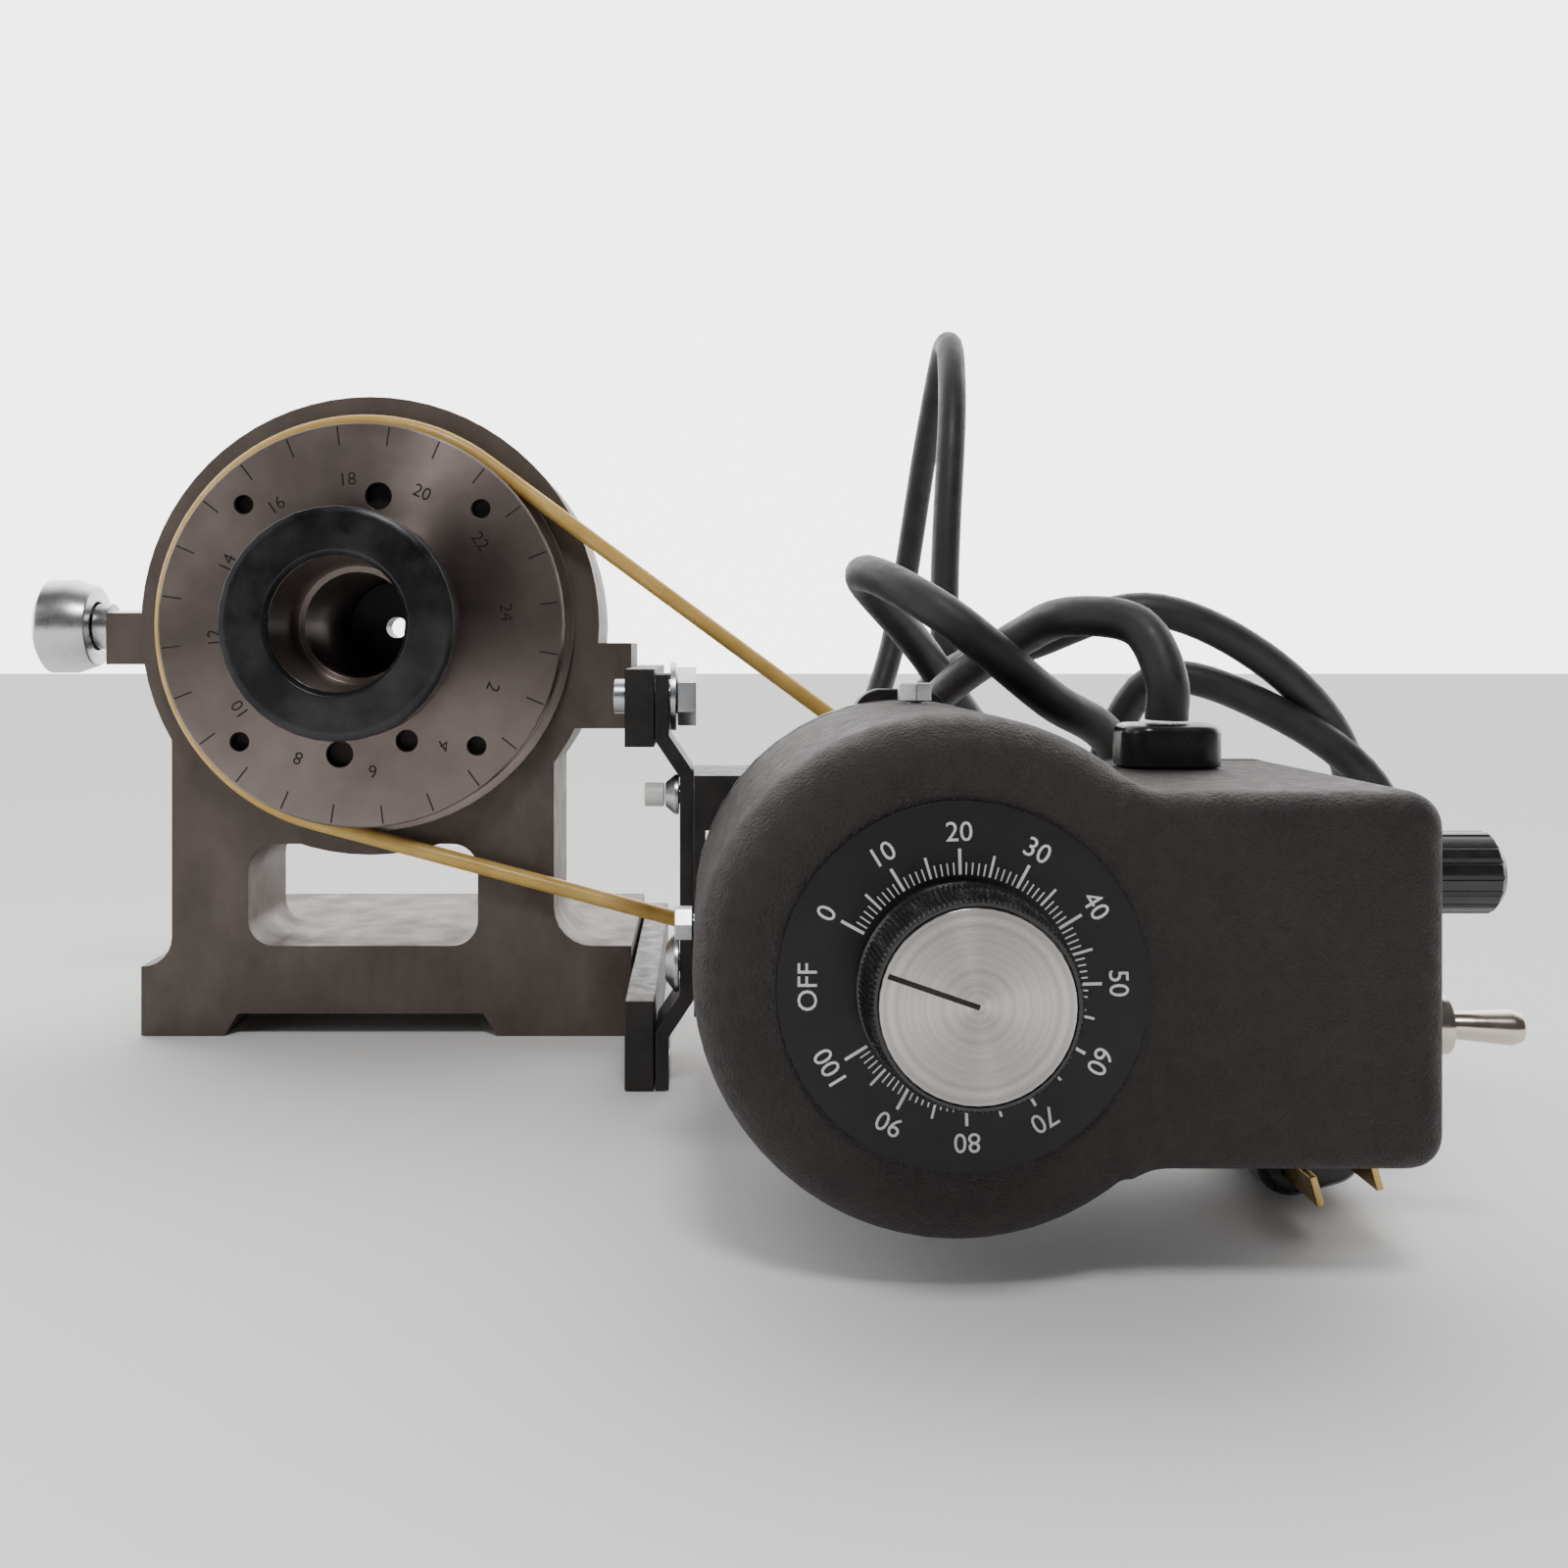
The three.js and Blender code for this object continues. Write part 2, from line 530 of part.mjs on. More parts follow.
add("head_casting", "cast_iron", headCasting());
add("front_bush", "bronze", bush(CUP_FLOOR + GAP, CUP_FLOOR + 10.8));
add("rear_bush", "bronze", bush(HEAD_REAR - 11, HEAD_REAR - GAP));
add("spindle", "machined_steel", spindle());
add("nose_ring", "black_oxide", noseRing());
add("index_plate", "machined_steel", indexPlate());
const pulleySize = [PULLEY_FRONT, PULLEY_REAR, BUSH_BORE, BELT_RADIUS + PULLEY_RIM];
const spindleGroove = [0, SPINDLE_HEIGHT, BELT_RADIUS, ...pulleySize, 60];
add("spindle_pulley", "machined_steel", grooved(...spindleGroove));
add("index_ring", "machined_steel", indexRing());
add("thrust_collar", "black_oxide", thrustCollar());
add("collar_set_screw", "black_oxide", collarScrew());
add("draw_nut", "black_oxide", drawNut());

// ---------------------------------------------------------------- index plunger
const SLEEVE_OUT = BOSS_LEFT - GAP - PLUNGER_TRAVEL - SLEEVE.spare;
const PIN_TIP = -RING_RADIUS - 2 * GAP;
const KNOB_FACE = SLEEVE_OUT - KNOB.stand_off;

function plungerSleeve() {
  return turnedX(PLUNGER_Y, SPINDLE_HEIGHT, [
    [SLEEVE.bore, SLEEVE_OUT],
    [SLEEVE.radius, SLEEVE_OUT],
    [SLEEVE.radius, BOSS_LEFT - GAP],
    [SLEEVE.shank, BOSS_LEFT - GAP],
    [SLEEVE.shank, -CUP_RADIUS - SLEEVE.past],
    [SLEEVE.bore, -CUP_RADIUS - SLEEVE.past],
  ], 32);
}

function plungerKnob() {
  const outer = KNOB_FACE - KNOB.length;
  return turnedX(PLUNGER_Y, SPINDLE_HEIGHT, [
    [0, outer],
    [KNOB.radius - 3, outer],
    [KNOB.radius, outer + 2],
    [KNOB.radius, outer + 10],
    [KNOB.neck, KNOB_FACE],
    [SLEEVE.radius + KNOB.skirt_gap, KNOB_FACE],
    [SLEEVE.radius + KNOB.skirt_gap, KNOB_FACE - KNOB.skirt],
    [PIN_RADIUS + GAP, KNOB_FACE - KNOB.skirt],
    [PIN_RADIUS + GAP, KNOB_FACE - KNOB.socket],
    [0, KNOB_FACE - KNOB.socket],
  ], 40);
}

function plungerPin() {
  const tail = KNOB_FACE - KNOB.socket + GAP;
  const tip = rodX(PLUNGER_Y, SPINDLE_HEIGHT, PIN_RADIUS, tail, PIN_TIP - 1.2, 24);
  return tip.add(rodX(PLUNGER_Y, SPINDLE_HEIGHT, PIN_RADIUS, PIN_TIP - 1.2, PIN_TIP, 24, PIN_RADIUS - 0.8));
}

add("plunger_sleeve", "zinc", plungerSleeve());
add("plunger_knob", "bright_aluminium", plungerKnob());
add("plunger_pin", "machined_steel", plungerPin());

// ---------------------------------------------------------------- bracket
function clampStrip() {
  const foot = STRIP_FOOT;
  const face = STRIP_FACE;
  const t = STRIP.thick;
  const upper = BOLT_Z - STRIP.below_bolt;
  const top = BOLT_Z + STRIP.above_bolt;
  const kneeTop = upper - STRIP.bend;
  const kneeFoot = STRIP.lower + STRIP.bend;
  const outline = polygon([
    [foot, GAP], [foot + t, GAP], [foot + t, STRIP.lower - STRIP.lean], [face + t, kneeFoot - STRIP.lean],
    [face + t, kneeTop + STRIP.lean], [foot + t, upper + STRIP.lean], [foot + t, top],
    [foot, top], [foot, upper], [face, kneeTop], [face, kneeFoot], [foot, STRIP.lower],
  ]);
  const strip = slab(outline, BAR.front, BAR.front + STRIP.width);
  const slotHalf = CLAMP_BOLT.shank + GAP;
  const slotEnds = [foot - OVERCUT, foot + t + OVERCUT, STRIP_Y - slotHalf, STRIP_Y + slotHalf];
  const slot = box(...slotEnds, BOLT_Z, top + OVERCUT);
  const round = rodX(STRIP_Y, BOLT_Z, slotHalf, foot - OVERCUT, foot + t + OVERCUT, 20);
  return cut(strip, slot, round, ...bracketHoles(face - OVERCUT, face + t + OVERCUT), footScrewHole());
}

const BRACKET_SCREWS = { from_top: 7.6, from_foot: 8, shank: 2.5, head: 4, tip: 3 };
const UPPER_SCREW = { z: CHANNEL_TOP - BRACKET_SCREWS.from_top, head: 5.5 };
const LOWER_SCREW = { z: CHANNEL_BOTTOM + BRACKET_SCREWS.from_foot, head: 8 };

function bracketHoles(x0, x1) {
  const radius = BRACKET_SCREWS.shank + GAP;
  return [UPPER_SCREW, LOWER_SCREW].map(({ z }) => rodX(BRACKET_SCREW_Y, z, radius, x0, x1, 16));
}

const FOOT_SCREW = { z: 8, shank: 2.5, head: 5 };

function footScrewHole() {
  const right = STRIP_FOOT + STRIP.thick + GAP;
  const radius = FOOT_SCREW.shank + GAP;
  const shank = rodX(STRIP_Y, FOOT_SCREW.z, radius, BAR_LEFT + 1, right, 16);
  const sink = rodX(STRIP_Y, FOOT_SCREW.z, radius, right - 3, right, 16, FOOT_SCREW.head + GAP);
  return shank.add(sink);
}

function footScrew() {
  const right = STRIP_FOOT + STRIP.thick;
  const shank = rodX(STRIP_Y, FOOT_SCREW.z, FOOT_SCREW.shank, BAR_LEFT + 2, right - 1, 16);
  const head = rodX(STRIP_Y, FOOT_SCREW.z, FOOT_SCREW.shank, right - 2.7, right, 16, FOOT_SCREW.head);
  const slot = [STRIP_Y - FOOT_SCREW.head, STRIP_Y + FOOT_SCREW.head, FOOT_SCREW.z - 0.5, FOOT_SCREW.z + 0.5];
  return shank.add(head).subtract(box(right - 1, right + 1, ...slot));
}

function bar(rear, bottom, top, hole) {
  return box(BAR_LEFT, BAR_RIGHT, BAR.front, rear, bottom, top).subtract(hole);
}

function clampBolt() {
  const seat = STRIP_FOOT + STRIP.thick + GAP + WASHER.thick + GAP;
  const head = rodX(STRIP_Y, BOLT_Z, CLAMP_BOLT.across / Math.sqrt(3), seat, seat + CLAMP_BOLT.head, 6);
  const shank = rodX(STRIP_Y, BOLT_Z, CLAMP_BOLT.shank, BAR_LEFT + CLAMP_BOLT.end, seat + 1, 20);
  return head.add(shank);
}

function clampWasher() {
  const left = STRIP_FOOT + STRIP.thick + GAP;
  const disc = rodX(STRIP_Y, BOLT_Z, WASHER.radius, left, left + WASHER.thick, 28);
  const hole = rodX(STRIP_Y, BOLT_Z, CLAMP_BOLT.shank + GAP, left - 1, left + 4, 20);
  return disc.subtract(hole);
}

function domeScrew({ z, head }) {
  const face = STRIP_FACE - GAP;
  const headLeft = STRIP_FACE - BRACKET_SCREWS.head;
  const tip = WEB_LEFT + CHANNEL.web + BRACKET_SCREWS.tip;
  return turnedX(BRACKET_SCREW_Y, z, [
    [0, headLeft], [head * 0.6, headLeft], [head, face - 1.2], [head, face],
    [BRACKET_SCREWS.shank, face], [BRACKET_SCREWS.shank, tip], [0, tip],
  ]);
}

function channelBracket() {
  const c = CHANNEL;
  const right = MOTOR_X + c.beyond;
  const web = box(WEB_LEFT, WEB_LEFT + c.web, c.front, c.rear, CHANNEL_BOTTOM, CHANNEL_TOP);
  const topFlange = box(WEB_LEFT, right, c.front, c.rear, CHANNEL_TOP - c.web, CHANNEL_TOP);
  const foot = box(WEB_LEFT, right, c.front, c.rear, CHANNEL_BOTTOM, CHANNEL_BOTTOM + c.web);
  const lipRight = WEB_LEFT + c.lip_length;
  const lip = box(WEB_LEFT, lipRight, c.front, c.front + c.web, CHANNEL_TOP - c.lip, CHANNEL_TOP);
  const screwEnds = [CHANNEL_BOTTOM - OVERCUT, CHANNEL_TOP + OVERCUT];
  const screwHole = rodZ(MOTOR_X, GEARBOX_SCREW_Y, GEARBOX_SCREW.shank + GAP, ...screwEnds, 16);
  return cut(join(web, topFlange, foot, lip), ...bracketHoles(WEB_LEFT - 1, WEB_LEFT + 4), screwHole);
}

const GEARBOX_SCREW_Y = CHANNEL.rear - 3.2;
const GEARBOX_SCREW = { shank: 2, head: 4, head_thick: 2.5, depth: 6.5, blind: 1.2 };

// A screw through a flange of the channel into the gearbox, from above or from below.
function gearboxScrew(above) {
  const side = above ? 1 : -1;
  const tip = MOTOR_Z + side * (MOTOR_RADIUS - GEARBOX_SCREW.depth);
  const seat = MOTOR_Z + side * (CHANNEL_HALF + GAP);
  const top = seat + side * GEARBOX_SCREW.head_thick;
  const ascending = (a, b) => [Math.min(a, b), Math.max(a, b)];
  const shank = rodZ(MOTOR_X, GEARBOX_SCREW_Y, GEARBOX_SCREW.shank, ...ascending(tip, top), 16);
  const head = ascending(seat, top);
  return shank.add(rodZ(MOTOR_X, GEARBOX_SCREW_Y, GEARBOX_SCREW.head, ...head, 20));
}

const boltHole = rodX(STRIP_Y, BOLT_Z, CLAMP_BOLT.shank + GAP, BAR_LEFT - 1, BAR_RIGHT + 1, 20);
add("upper_bar", "blackened_steel", bar(HEAD_REAR, BAR_BOTTOM, BAR_TOP, boltHole));
add("foot_bar", "blackened_steel", bar(BASE_REAR, 0, FOOT_BAR_TOP, footScrewHole()));
add("clamp_strip", "blackened_steel", clampStrip());
add("clamp_bolt", "zinc", clampBolt());
add("clamp_washer", "zinc", clampWasher());
add("foot_screw", "zinc", footScrew());
add("channel_bracket", "blackened_steel", channelBracket());
add("upper_bracket_screw", "zinc", domeScrew(UPPER_SCREW));
add("lower_bracket_screw", "zinc", domeScrew(LOWER_SCREW));
const END_CAP = { radius: 3.3, length: 5.4 };
const capRight = STRIP_FACE - BRACKET_SCREWS.head - GAP;
const capSpan = [capRight - END_CAP.length, capRight];
add("end_cap", "nylon", rodX(BRACKET_SCREW_Y, UPPER_SCREW.z, END_CAP.radius, ...capSpan, 20));

// ---------------------------------------------------------------- motor and belt
function gearbox() {
  const front = MOTOR_SPLIT + GAP;
  const blank = turned(MOTOR_X, MOTOR_Z, [
    [MOTOR_SHAFT_RADIUS + GAP, front], [MOTOR_RADIUS, front], [MOTOR_RADIUS, GEARBOX_REAR - 1],
    [MOTOR_RADIUS - 1, GEARBOX_REAR], [9, GEARBOX_REAR], [9, GEARBOX_REAR + 4],
    [MOTOR_SHAFT_RADIUS + GAP, GEARBOX_REAR + 4],
  ], 40);
  const floor = MOTOR_RADIUS - GEARBOX_SCREW.depth - GEARBOX_SCREW.blind;
  const mouth = MOTOR_RADIUS + OVERCUT;
  const hole = [MOTOR_X, GEARBOX_SCREW_Y, GEARBOX_SCREW.shank + GAP];
  const upper = rodZ(...hole, MOTOR_Z + floor, MOTOR_Z + mouth, 16);
  const lower = rodZ(...hole, MOTOR_Z - mouth, MOTOR_Z - floor, 16);
  return cut(blank, upper, lower);
}

function motorCan() {
  return turned(MOTOR_X, MOTOR_Z, [
    [0, MOTOR_FRONT], [MOTOR_RADIUS - 2, MOTOR_FRONT], [MOTOR_RADIUS, MOTOR_FRONT + 2],
    [MOTOR_RADIUS, MOTOR_SPLIT], [0, MOTOR_SPLIT],
  ], 40);
}

function motorPulley() {
  const p = MOTOR_PULLEY;
  const wheel = [MOTOR_X, MOTOR_Z, MOTOR_BELT_RADIUS, -p.half_width, p.half_width];
  const rim = MOTOR_BELT_RADIUS + p.rim;
  const disc = grooved(...wheel, MOTOR_SHAFT_RADIUS + GAP, rim, 44);
  return disc.subtract(rodZ(MOTOR_X, p.screw_y, p.screw + GAP, MOTOR_Z, MOTOR_Z + rim + OVERCUT, 16));
}

// The loop round both pulleys: two arcs and the straight runs that touch them.
function beltLoop(offset) {
  const dx = MOTOR_X;
  const dz = MOTOR_Z - SPINDLE_HEIGHT;
  const heading = Math.atan2(dz, dx);
  const spread = Math.acos((BELT_RADIUS - MOTOR_BELT_RADIUS) / Math.hypot(dx, dz));
  const loop = new THREE.Shape();
  loop.absarc(0, SPINDLE_HEIGHT, BELT_RADIUS + offset, heading + spread, heading - spread + TAU, false);
  loop.absarc(MOTOR_X, MOTOR_Z, MOTOR_BELT_RADIUS + offset, heading - spread, heading + spread, false);
  return loop;
}

function driveBelt() {
  const half = BELT_DIAMETER / 2;
  const bevel = half * 0.55;
  const loop = beltLoop(half);
  loop.holes.push(new THREE.Path(beltLoop(-half).getPoints(26).reverse()));
  const geometry = new THREE.ExtrudeGeometry(loop, {
    depth: BELT_DIAMETER - 2 * bevel,
    bevelThickness: bevel,
    bevelSize: bevel,
    bevelOffset: -bevel,
    bevelSegments: 1,
    curveSegments: 26,
  });
  geometry.rotateX(Math.PI / 2);
  geometry.translate(0, half - bevel, 0);
  return solid(geometry);
}

add("motor_can", "blackened_steel", motorCan());
add("motor_gearbox", "cast_iron", gearbox());
const shaftSpan = [GEARBOX_REAR - 6, MOTOR_PULLEY.half_width + 3];
add("motor_shaft", "machined_steel", rodY(MOTOR_X, MOTOR_Z, MOTOR_SHAFT_RADIUS, ...shaftSpan, 24));
add("motor_pulley", "bright_aluminium", motorPulley());
const setScrewFoot = MOTOR_Z + MOTOR_SHAFT_RADIUS + GAP;
const setScrew = [MOTOR_X, MOTOR_PULLEY.screw_y, MOTOR_PULLEY.screw, setScrewFoot, setScrewFoot + 7.7];
add("pulley_set_screw", "black_oxide", rodZ(...setScrew, 12));
add("gearbox_screw_top", "zinc", gearboxScrew(true));
add("gearbox_screw_bottom", "zinc", gearboxScrew(false));
add("drive_belt", "belt_urethane", driveBelt());

// ---------------------------------------------------------------- controller case
// The square end and the neck of the case, smaller all round by `inset`.
function squareEnd(inset) {
  const right = CASE_RIGHT - inset;
  const top = CASE_TOP - inset;
  const bottom = CASE_BOTTOM + inset;
  const corner = CASE_CORNER - inset;
  const radius = CASE_RADIUS - inset;
  const neck = CASE_NECK + inset;
  const rise = top + neck - CASE_Z;
  const drop = CASE_Z - bottom + neck;
  const topX = CASE_X + Math.sqrt((radius + neck) ** 2 - rise ** 2);
  const footX = CASE_X + Math.sqrt((radius + neck) ** 2 - drop ** 2);
  const topTurn = Math.atan2(-rise, CASE_X - topX);
  const footTurn = Math.atan2(drop, CASE_X - footX);
  const shape = new THREE.Shape();
  shape.moveTo(CASE_X, top - neck);
  shape.lineTo(CASE_X, bottom + neck);
  shape.absarc(footX, bottom - neck, neck, footTurn, Math.PI / 2, true);
  shape.absarc(right - corner, bottom + corner, corner, -Math.PI / 2, 0, false);
  shape.absarc(right - corner, top - corner, corner, 0, Math.PI / 2, false);
  shape.absarc(topX, top + neck, neck, -Math.PI / 2, topTurn, true);
  return shape;
}

// The case from its front face back, with its front edge rounded in `steps` and its round end in `sides`.
function caseBlank(inset, front, rear, steps, sides) {
  const round = CASE_ROUND - inset;
  const radius = CASE_RADIUS - inset;
  const profile = [[0, front]];
  for (let i = 0; i <= steps; i += 1) {
    const turn = (i / steps) * (Math.PI / 2);
    profile.push([radius - round + round * Math.sin(turn), front + round - round * Math.cos(turn)]);
  }
  profile.push([radius, rear], [0, rear]);
  const disc = turned(CASE_X, CASE_Z, profile, sides);
  const bevel = CASE_CORNER - inset - 0.6;
  const geometry = new THREE.ExtrudeGeometry(squareEnd(inset), {
    depth: rear - front,
    bevelThickness: bevel,
    bevelSize: bevel,
    bevelOffset: -bevel,
    bevelSegments: steps - 1,
    curveSegments: steps,
  });
  geometry.rotateX(Math.PI / 2);
  geometry.translate(0, rear + bevel, 0);
  const behind = box(CASE_X - 90, CASE_RIGHT + 20, rear, rear + 40, -20, 150);
  return disc.add(solid(geometry).subtract(behind));
}

function caseShell() {
  const outer = caseBlank(0, CASE_FRONT, CASE_REAR, 5, 60);
  const inner = caseBlank(CASE_WALL, CASE_FRONT + CASE_WALL, CASE_REAR + OVERCUT, 2, 32);
  const shaft = rodY(CASE_X, CASE_Z, CONTROL_SHAFT_RADIUS + GAP, CASE_FRONT - 1, CASE_FRONT + 4, 24);
  const fuse = rodX(FUSE_Y, FUSE_Z, FUSE.body + GAP, CASE_RIGHT - 5, CASE_RIGHT + 1);
  const toggle = rodX(TOGGLE_Y, TOGGLE_Z, TOGGLE.bush + GAP, CASE_RIGHT - 5, CASE_RIGHT + 1);
  const relief = rodZ(RELIEF_X, RELIEF_Y, RELIEF.stem + GAP, CASE_TOP - 5, CASE_TOP + 1);
  return cut(outer, inner, shaft, fuse, toggle, relief, ...coverScrewHoles());
}

function coverScrewHoles() {
  const radius = COVER_SCREW.shank + GAP;
  const reach = CASE_RADIUS + OVERCUT;
  const inner = CASE_RADIUS - 8;
  return [
    rodX(COVER_SCREW_Y, CASE_Z, radius, CASE_X - reach, CASE_X - inner, 16),
    rodZ(CASE_X, COVER_SCREW_Y, radius, CASE_Z + inner, CASE_Z + reach, 16),
    rodZ(CASE_X, COVER_SCREW_Y, radius, CASE_Z - reach, CASE_Z - inner, 16),
  ];
}

// The plate that closes the back, with three tabs that the cover screws hold.
function backPlate() {
  const tabOuter = CASE_RADIUS - CASE_WALL - GAP - 0.4;
  const tabInner = tabOuter - TAB.thick;
  const half = TAB.width / 2;
  const front = BACK_FRONT - TAB.depth;
  const round = rodY(CASE_X, CASE_Z, CASE_RADIUS, BACK_FRONT, BACK_REAR, 48);
  const plate = round.add(slab(squareEnd(0), BACK_FRONT, BACK_REAR, 6));
  const ring = turned(CASE_X, CASE_Z, [
    [tabInner, front], [tabOuter, front], [tabOuter, BACK_FRONT + 1], [tabInner, BACK_FRONT + 1],
  ], 48);
  const left = box(CASE_X - 60, CASE_X, front - 1, BACK_REAR, CASE_Z - half, CASE_Z + half);
  const upright = box(CASE_X - half, CASE_X + half, front - 1, BACK_REAR, CASE_Z - 60, CASE_Z + 60);
  const tabs = ring.intersect(left.add(upright));
  return cut(plate.add(tabs), ...coverScrewHoles());
}

// A hex-headed screw through the case, turned about the axis of the round end: 0 is on top, 90 is left.
function coverScrew(degrees) {
  const seat = CASE_RADIUS + GAP;
  const corner = COVER_SCREW.across / Math.sqrt(3);
  const head = new THREE.CylinderGeometry(corner, corner, COVER_SCREW.head, 6);
  head.translate(0, seat + COVER_SCREW.head / 2, 0);
  const shank = new THREE.CylinderGeometry(COVER_SCREW.shank, COVER_SCREW.shank, COVER_SCREW.length, 16);
  shank.translate(0, seat + 0.5 - COVER_SCREW.length / 2, 0);
  const parts = [head, shank].map((geometry) => {
    geometry.rotateX(Math.PI / 2);
    geometry.rotateY(THREE.MathUtils.degToRad(-degrees));
    geometry.translate(CASE_X, COVER_SCREW_Y, CASE_Z);
    return solid(geometry);
  });
  return parts[0].add(parts[1]);
}

add("case_shell", "wrinkle_black", caseShell());
add("case_back", "blackened_steel", backPlate());
add("cover_screw_top", "zinc", coverScrew(0));
add("cover_screw_left", "zinc", coverScrew(90));
add("cover_screw_bottom", "zinc", coverScrew(180));

const adapterSides = [CASE_X - ADAPTER.width / 2, CASE_X + ADAPTER.width / 2];
const adapterHeight = [CASE_Z - ADAPTER.below, CASE_Z + ADAPTER.above];
const adapterOutline = rounded(...adapterSides, ...adapterHeight, ADAPTER.corner);
add("adapter_strap", "blackened_steel", slab(adapterOutline, ADAPTER_FRONT, ADAPTER_REAR, 5));
const strapScrewLeft = adapterSides[1] + GAP;
const strapScrewAxis = [(ADAPTER_FRONT + ADAPTER_REAR) / 2, adapterHeight[1] - ADAPTER.screw_drop];
const strapScrew = rodX(...strapScrewAxis, ADAPTER.screw, strapScrewLeft, strapScrewLeft + 3.2, 20);
add("strap_screw", "zinc", strapScrew);

// ---------------------------------------------------------------- inside and on the controller
function transformerWinding() {
  const outer = CORE_RADIUS + GAP;
  const inner = CORE.inner - GAP;
  const front = CORE_FRONT - GAP;
  return turned(CASE_X, CASE_Z, [
    [inner - WINDING_WALL, WINDING_FRONT], [outer + WINDING_WALL, WINDING_FRONT],
    [outer + WINDING_WALL, CORE_REAR], [outer, CORE_REAR], [outer, front], [inner, front],
    [inner, CORE_REAR], [inner - WINDING_WALL, CORE_REAR],
  ], 28);
}

const coreFront = [[CORE.inner, CORE_FRONT], [CORE_RADIUS, CORE_FRONT]];
const coreWall = [...coreFront, [CORE_RADIUS, CORE_REAR], [CORE.inner, CORE_REAR]];
add("transformer_core", "machined_steel", turned(CASE_X, CASE_Z, coreWall, 28));
add("transformer_winding", "copper_winding", transformerWinding());
const brushX = CASE_X + (CORE.inner + CORE_RADIUS) / 2;
const armSpan = [WINDING_FRONT - BRUSH.length - GAP - BRUSH.arm_thick, WINDING_FRONT - BRUSH.length - GAP];

function brushArm() {
  const half = BRUSH.arm_width / 2;
  const arm = box(CASE_X - half, brushX + half, ...armSpan, CASE_Z - half, CASE_Z + half);
  const hub = rodY(CASE_X, CASE_Z, BRUSH.hub, ...armSpan, 28);
  const holeSpan = [armSpan[0] - OVERCUT, armSpan[1] + OVERCUT];
  return arm.add(hub).subtract(rodY(CASE_X, CASE_Z, CONTROL_SHAFT_RADIUS + GAP, ...holeSpan, 24));
}

function carbonBrush() {
  const width = [brushX - BRUSH.width / 2, brushX + BRUSH.width / 2];
  const height = [CASE_Z - BRUSH.height / 2, CASE_Z + BRUSH.height / 2];
  return box(...width, armSpan[1] + GAP, WINDING_FRONT - GAP, ...height);
}

add("brush_arm", "brass", brushArm());
add("carbon_brush", "moulded_black", carbonBrush());
const knobFront = CASE_FRONT - GAP - DIAL_THICK - GAP - CONTROL_KNOB.depth;
const shaftEnds = [knobFront + CONTROL_KNOB.blind, CORE_REAR + 6];
add("control_shaft", "machined_steel", rodY(CASE_X, CASE_Z, CONTROL_SHAFT_RADIUS, ...shaftEnds, 24));
const dialFront = CASE_FRONT - GAP - DIAL_THICK;
const dialWall = [
  [CONTROL_SHAFT_RADIUS + 2, dialFront], [DIAL_RADIUS, dialFront], [DIAL_RADIUS, dialFront + DIAL_THICK],
  [CONTROL_SHAFT_RADIUS + 2, dialFront + DIAL_THICK],
];
add("dial_plate", "dial_black", turned(CASE_X, CASE_Z, dialWall, 56));

function controlKnob() {
  const k = CONTROL_KNOB;
  const rear = knobFront + k.depth - GAP;
  return turned(CASE_X, CASE_Z, [
    [0, knobFront + k.insert_thick + GAP], [k.insert + GAP, knobFront + k.insert_thick + GAP],
    [k.insert + GAP, knobFront], [k.face, knobFront], [k.face + 0.5, knobFront + 1.5],
    [k.base - 0.6, rear - 3], [k.base, rear - 2.5], [k.base, rear],
    [CONTROL_SHAFT_RADIUS + GAP, rear], [CONTROL_SHAFT_RADIUS + GAP, knobFront + k.blind - GAP],
    [0, knobFront + k.blind - GAP],
  ], 48);
}

add("control_knob", "moulded_black", controlKnob());
const insertSpan = [knobFront - 0.2, knobFront + CONTROL_KNOB.insert_thick];
add("knob_insert", "bright_aluminium", rodY(CASE_X, CASE_Z, CONTROL_KNOB.insert, ...insertSpan, 44));
const block = box(CASE_RIGHT - 36, CASE_RIGHT - 12, BACK_FRONT - 18, BACK_FRONT - GAP, 52, 66);
add("terminal_block", "moulded_black", block);

function fuseHolder() {
  const out = CASE_RIGHT + GAP;
  return turnedX(FUSE_Y, FUSE_Z, [
    [FUSE.bore, CASE_RIGHT - FUSE.inside], [FUSE.body, CASE_RIGHT - FUSE.inside], [FUSE.body, out],
    [FUSE.flange, out], [FUSE.flange, out + FUSE.rim], [FUSE.bore, out + FUSE.rim],
  ], 32);
}

function fuseCap() {
  const left = CASE_RIGHT + GAP + FUSE.rim + GAP;
  const right = left + FUSE_CAP.length;
  const cap = turnedX(FUSE_Y, FUSE_Z, [
    [FUSE.bore, left], [FUSE_CAP.radius, left], [FUSE_CAP.radius, right - FUSE_CAP.edge],
    [FUSE_CAP.radius - FUSE_CAP.edge, right], [0, right],
    [0, left + FUSE_CAP.socket], [FUSE.bore, left + FUSE_CAP.socket],
  ], 32);
  const ribs = [];
  for (let i = 0; i < FUSE_CAP.ribs; i += 1) {
    const turn = (i / FUSE_CAP.ribs) * TAU;
    const y = FUSE_Y + (FUSE_CAP.radius + 0.3) * Math.cos(turn);
    const z = FUSE_Z + (FUSE_CAP.radius + 0.3) * Math.sin(turn);
    ribs.push(rodX(y, z, 0.8, left + 2, right + 1, 6));
  }
  return cut(cap, ...ribs);
}

add("fuse_holder", "moulded_black", fuseHolder());
add("fuse", "glass", rodX(FUSE_Y, FUSE_Z, FUSE.bore - 0.6, CASE_RIGHT - 20, CASE_RIGHT + 11, 20));
add("fuse_cap", "moulded_black", fuseCap());

const togglePivot = CASE_RIGHT + TOGGLE.reach - 3;

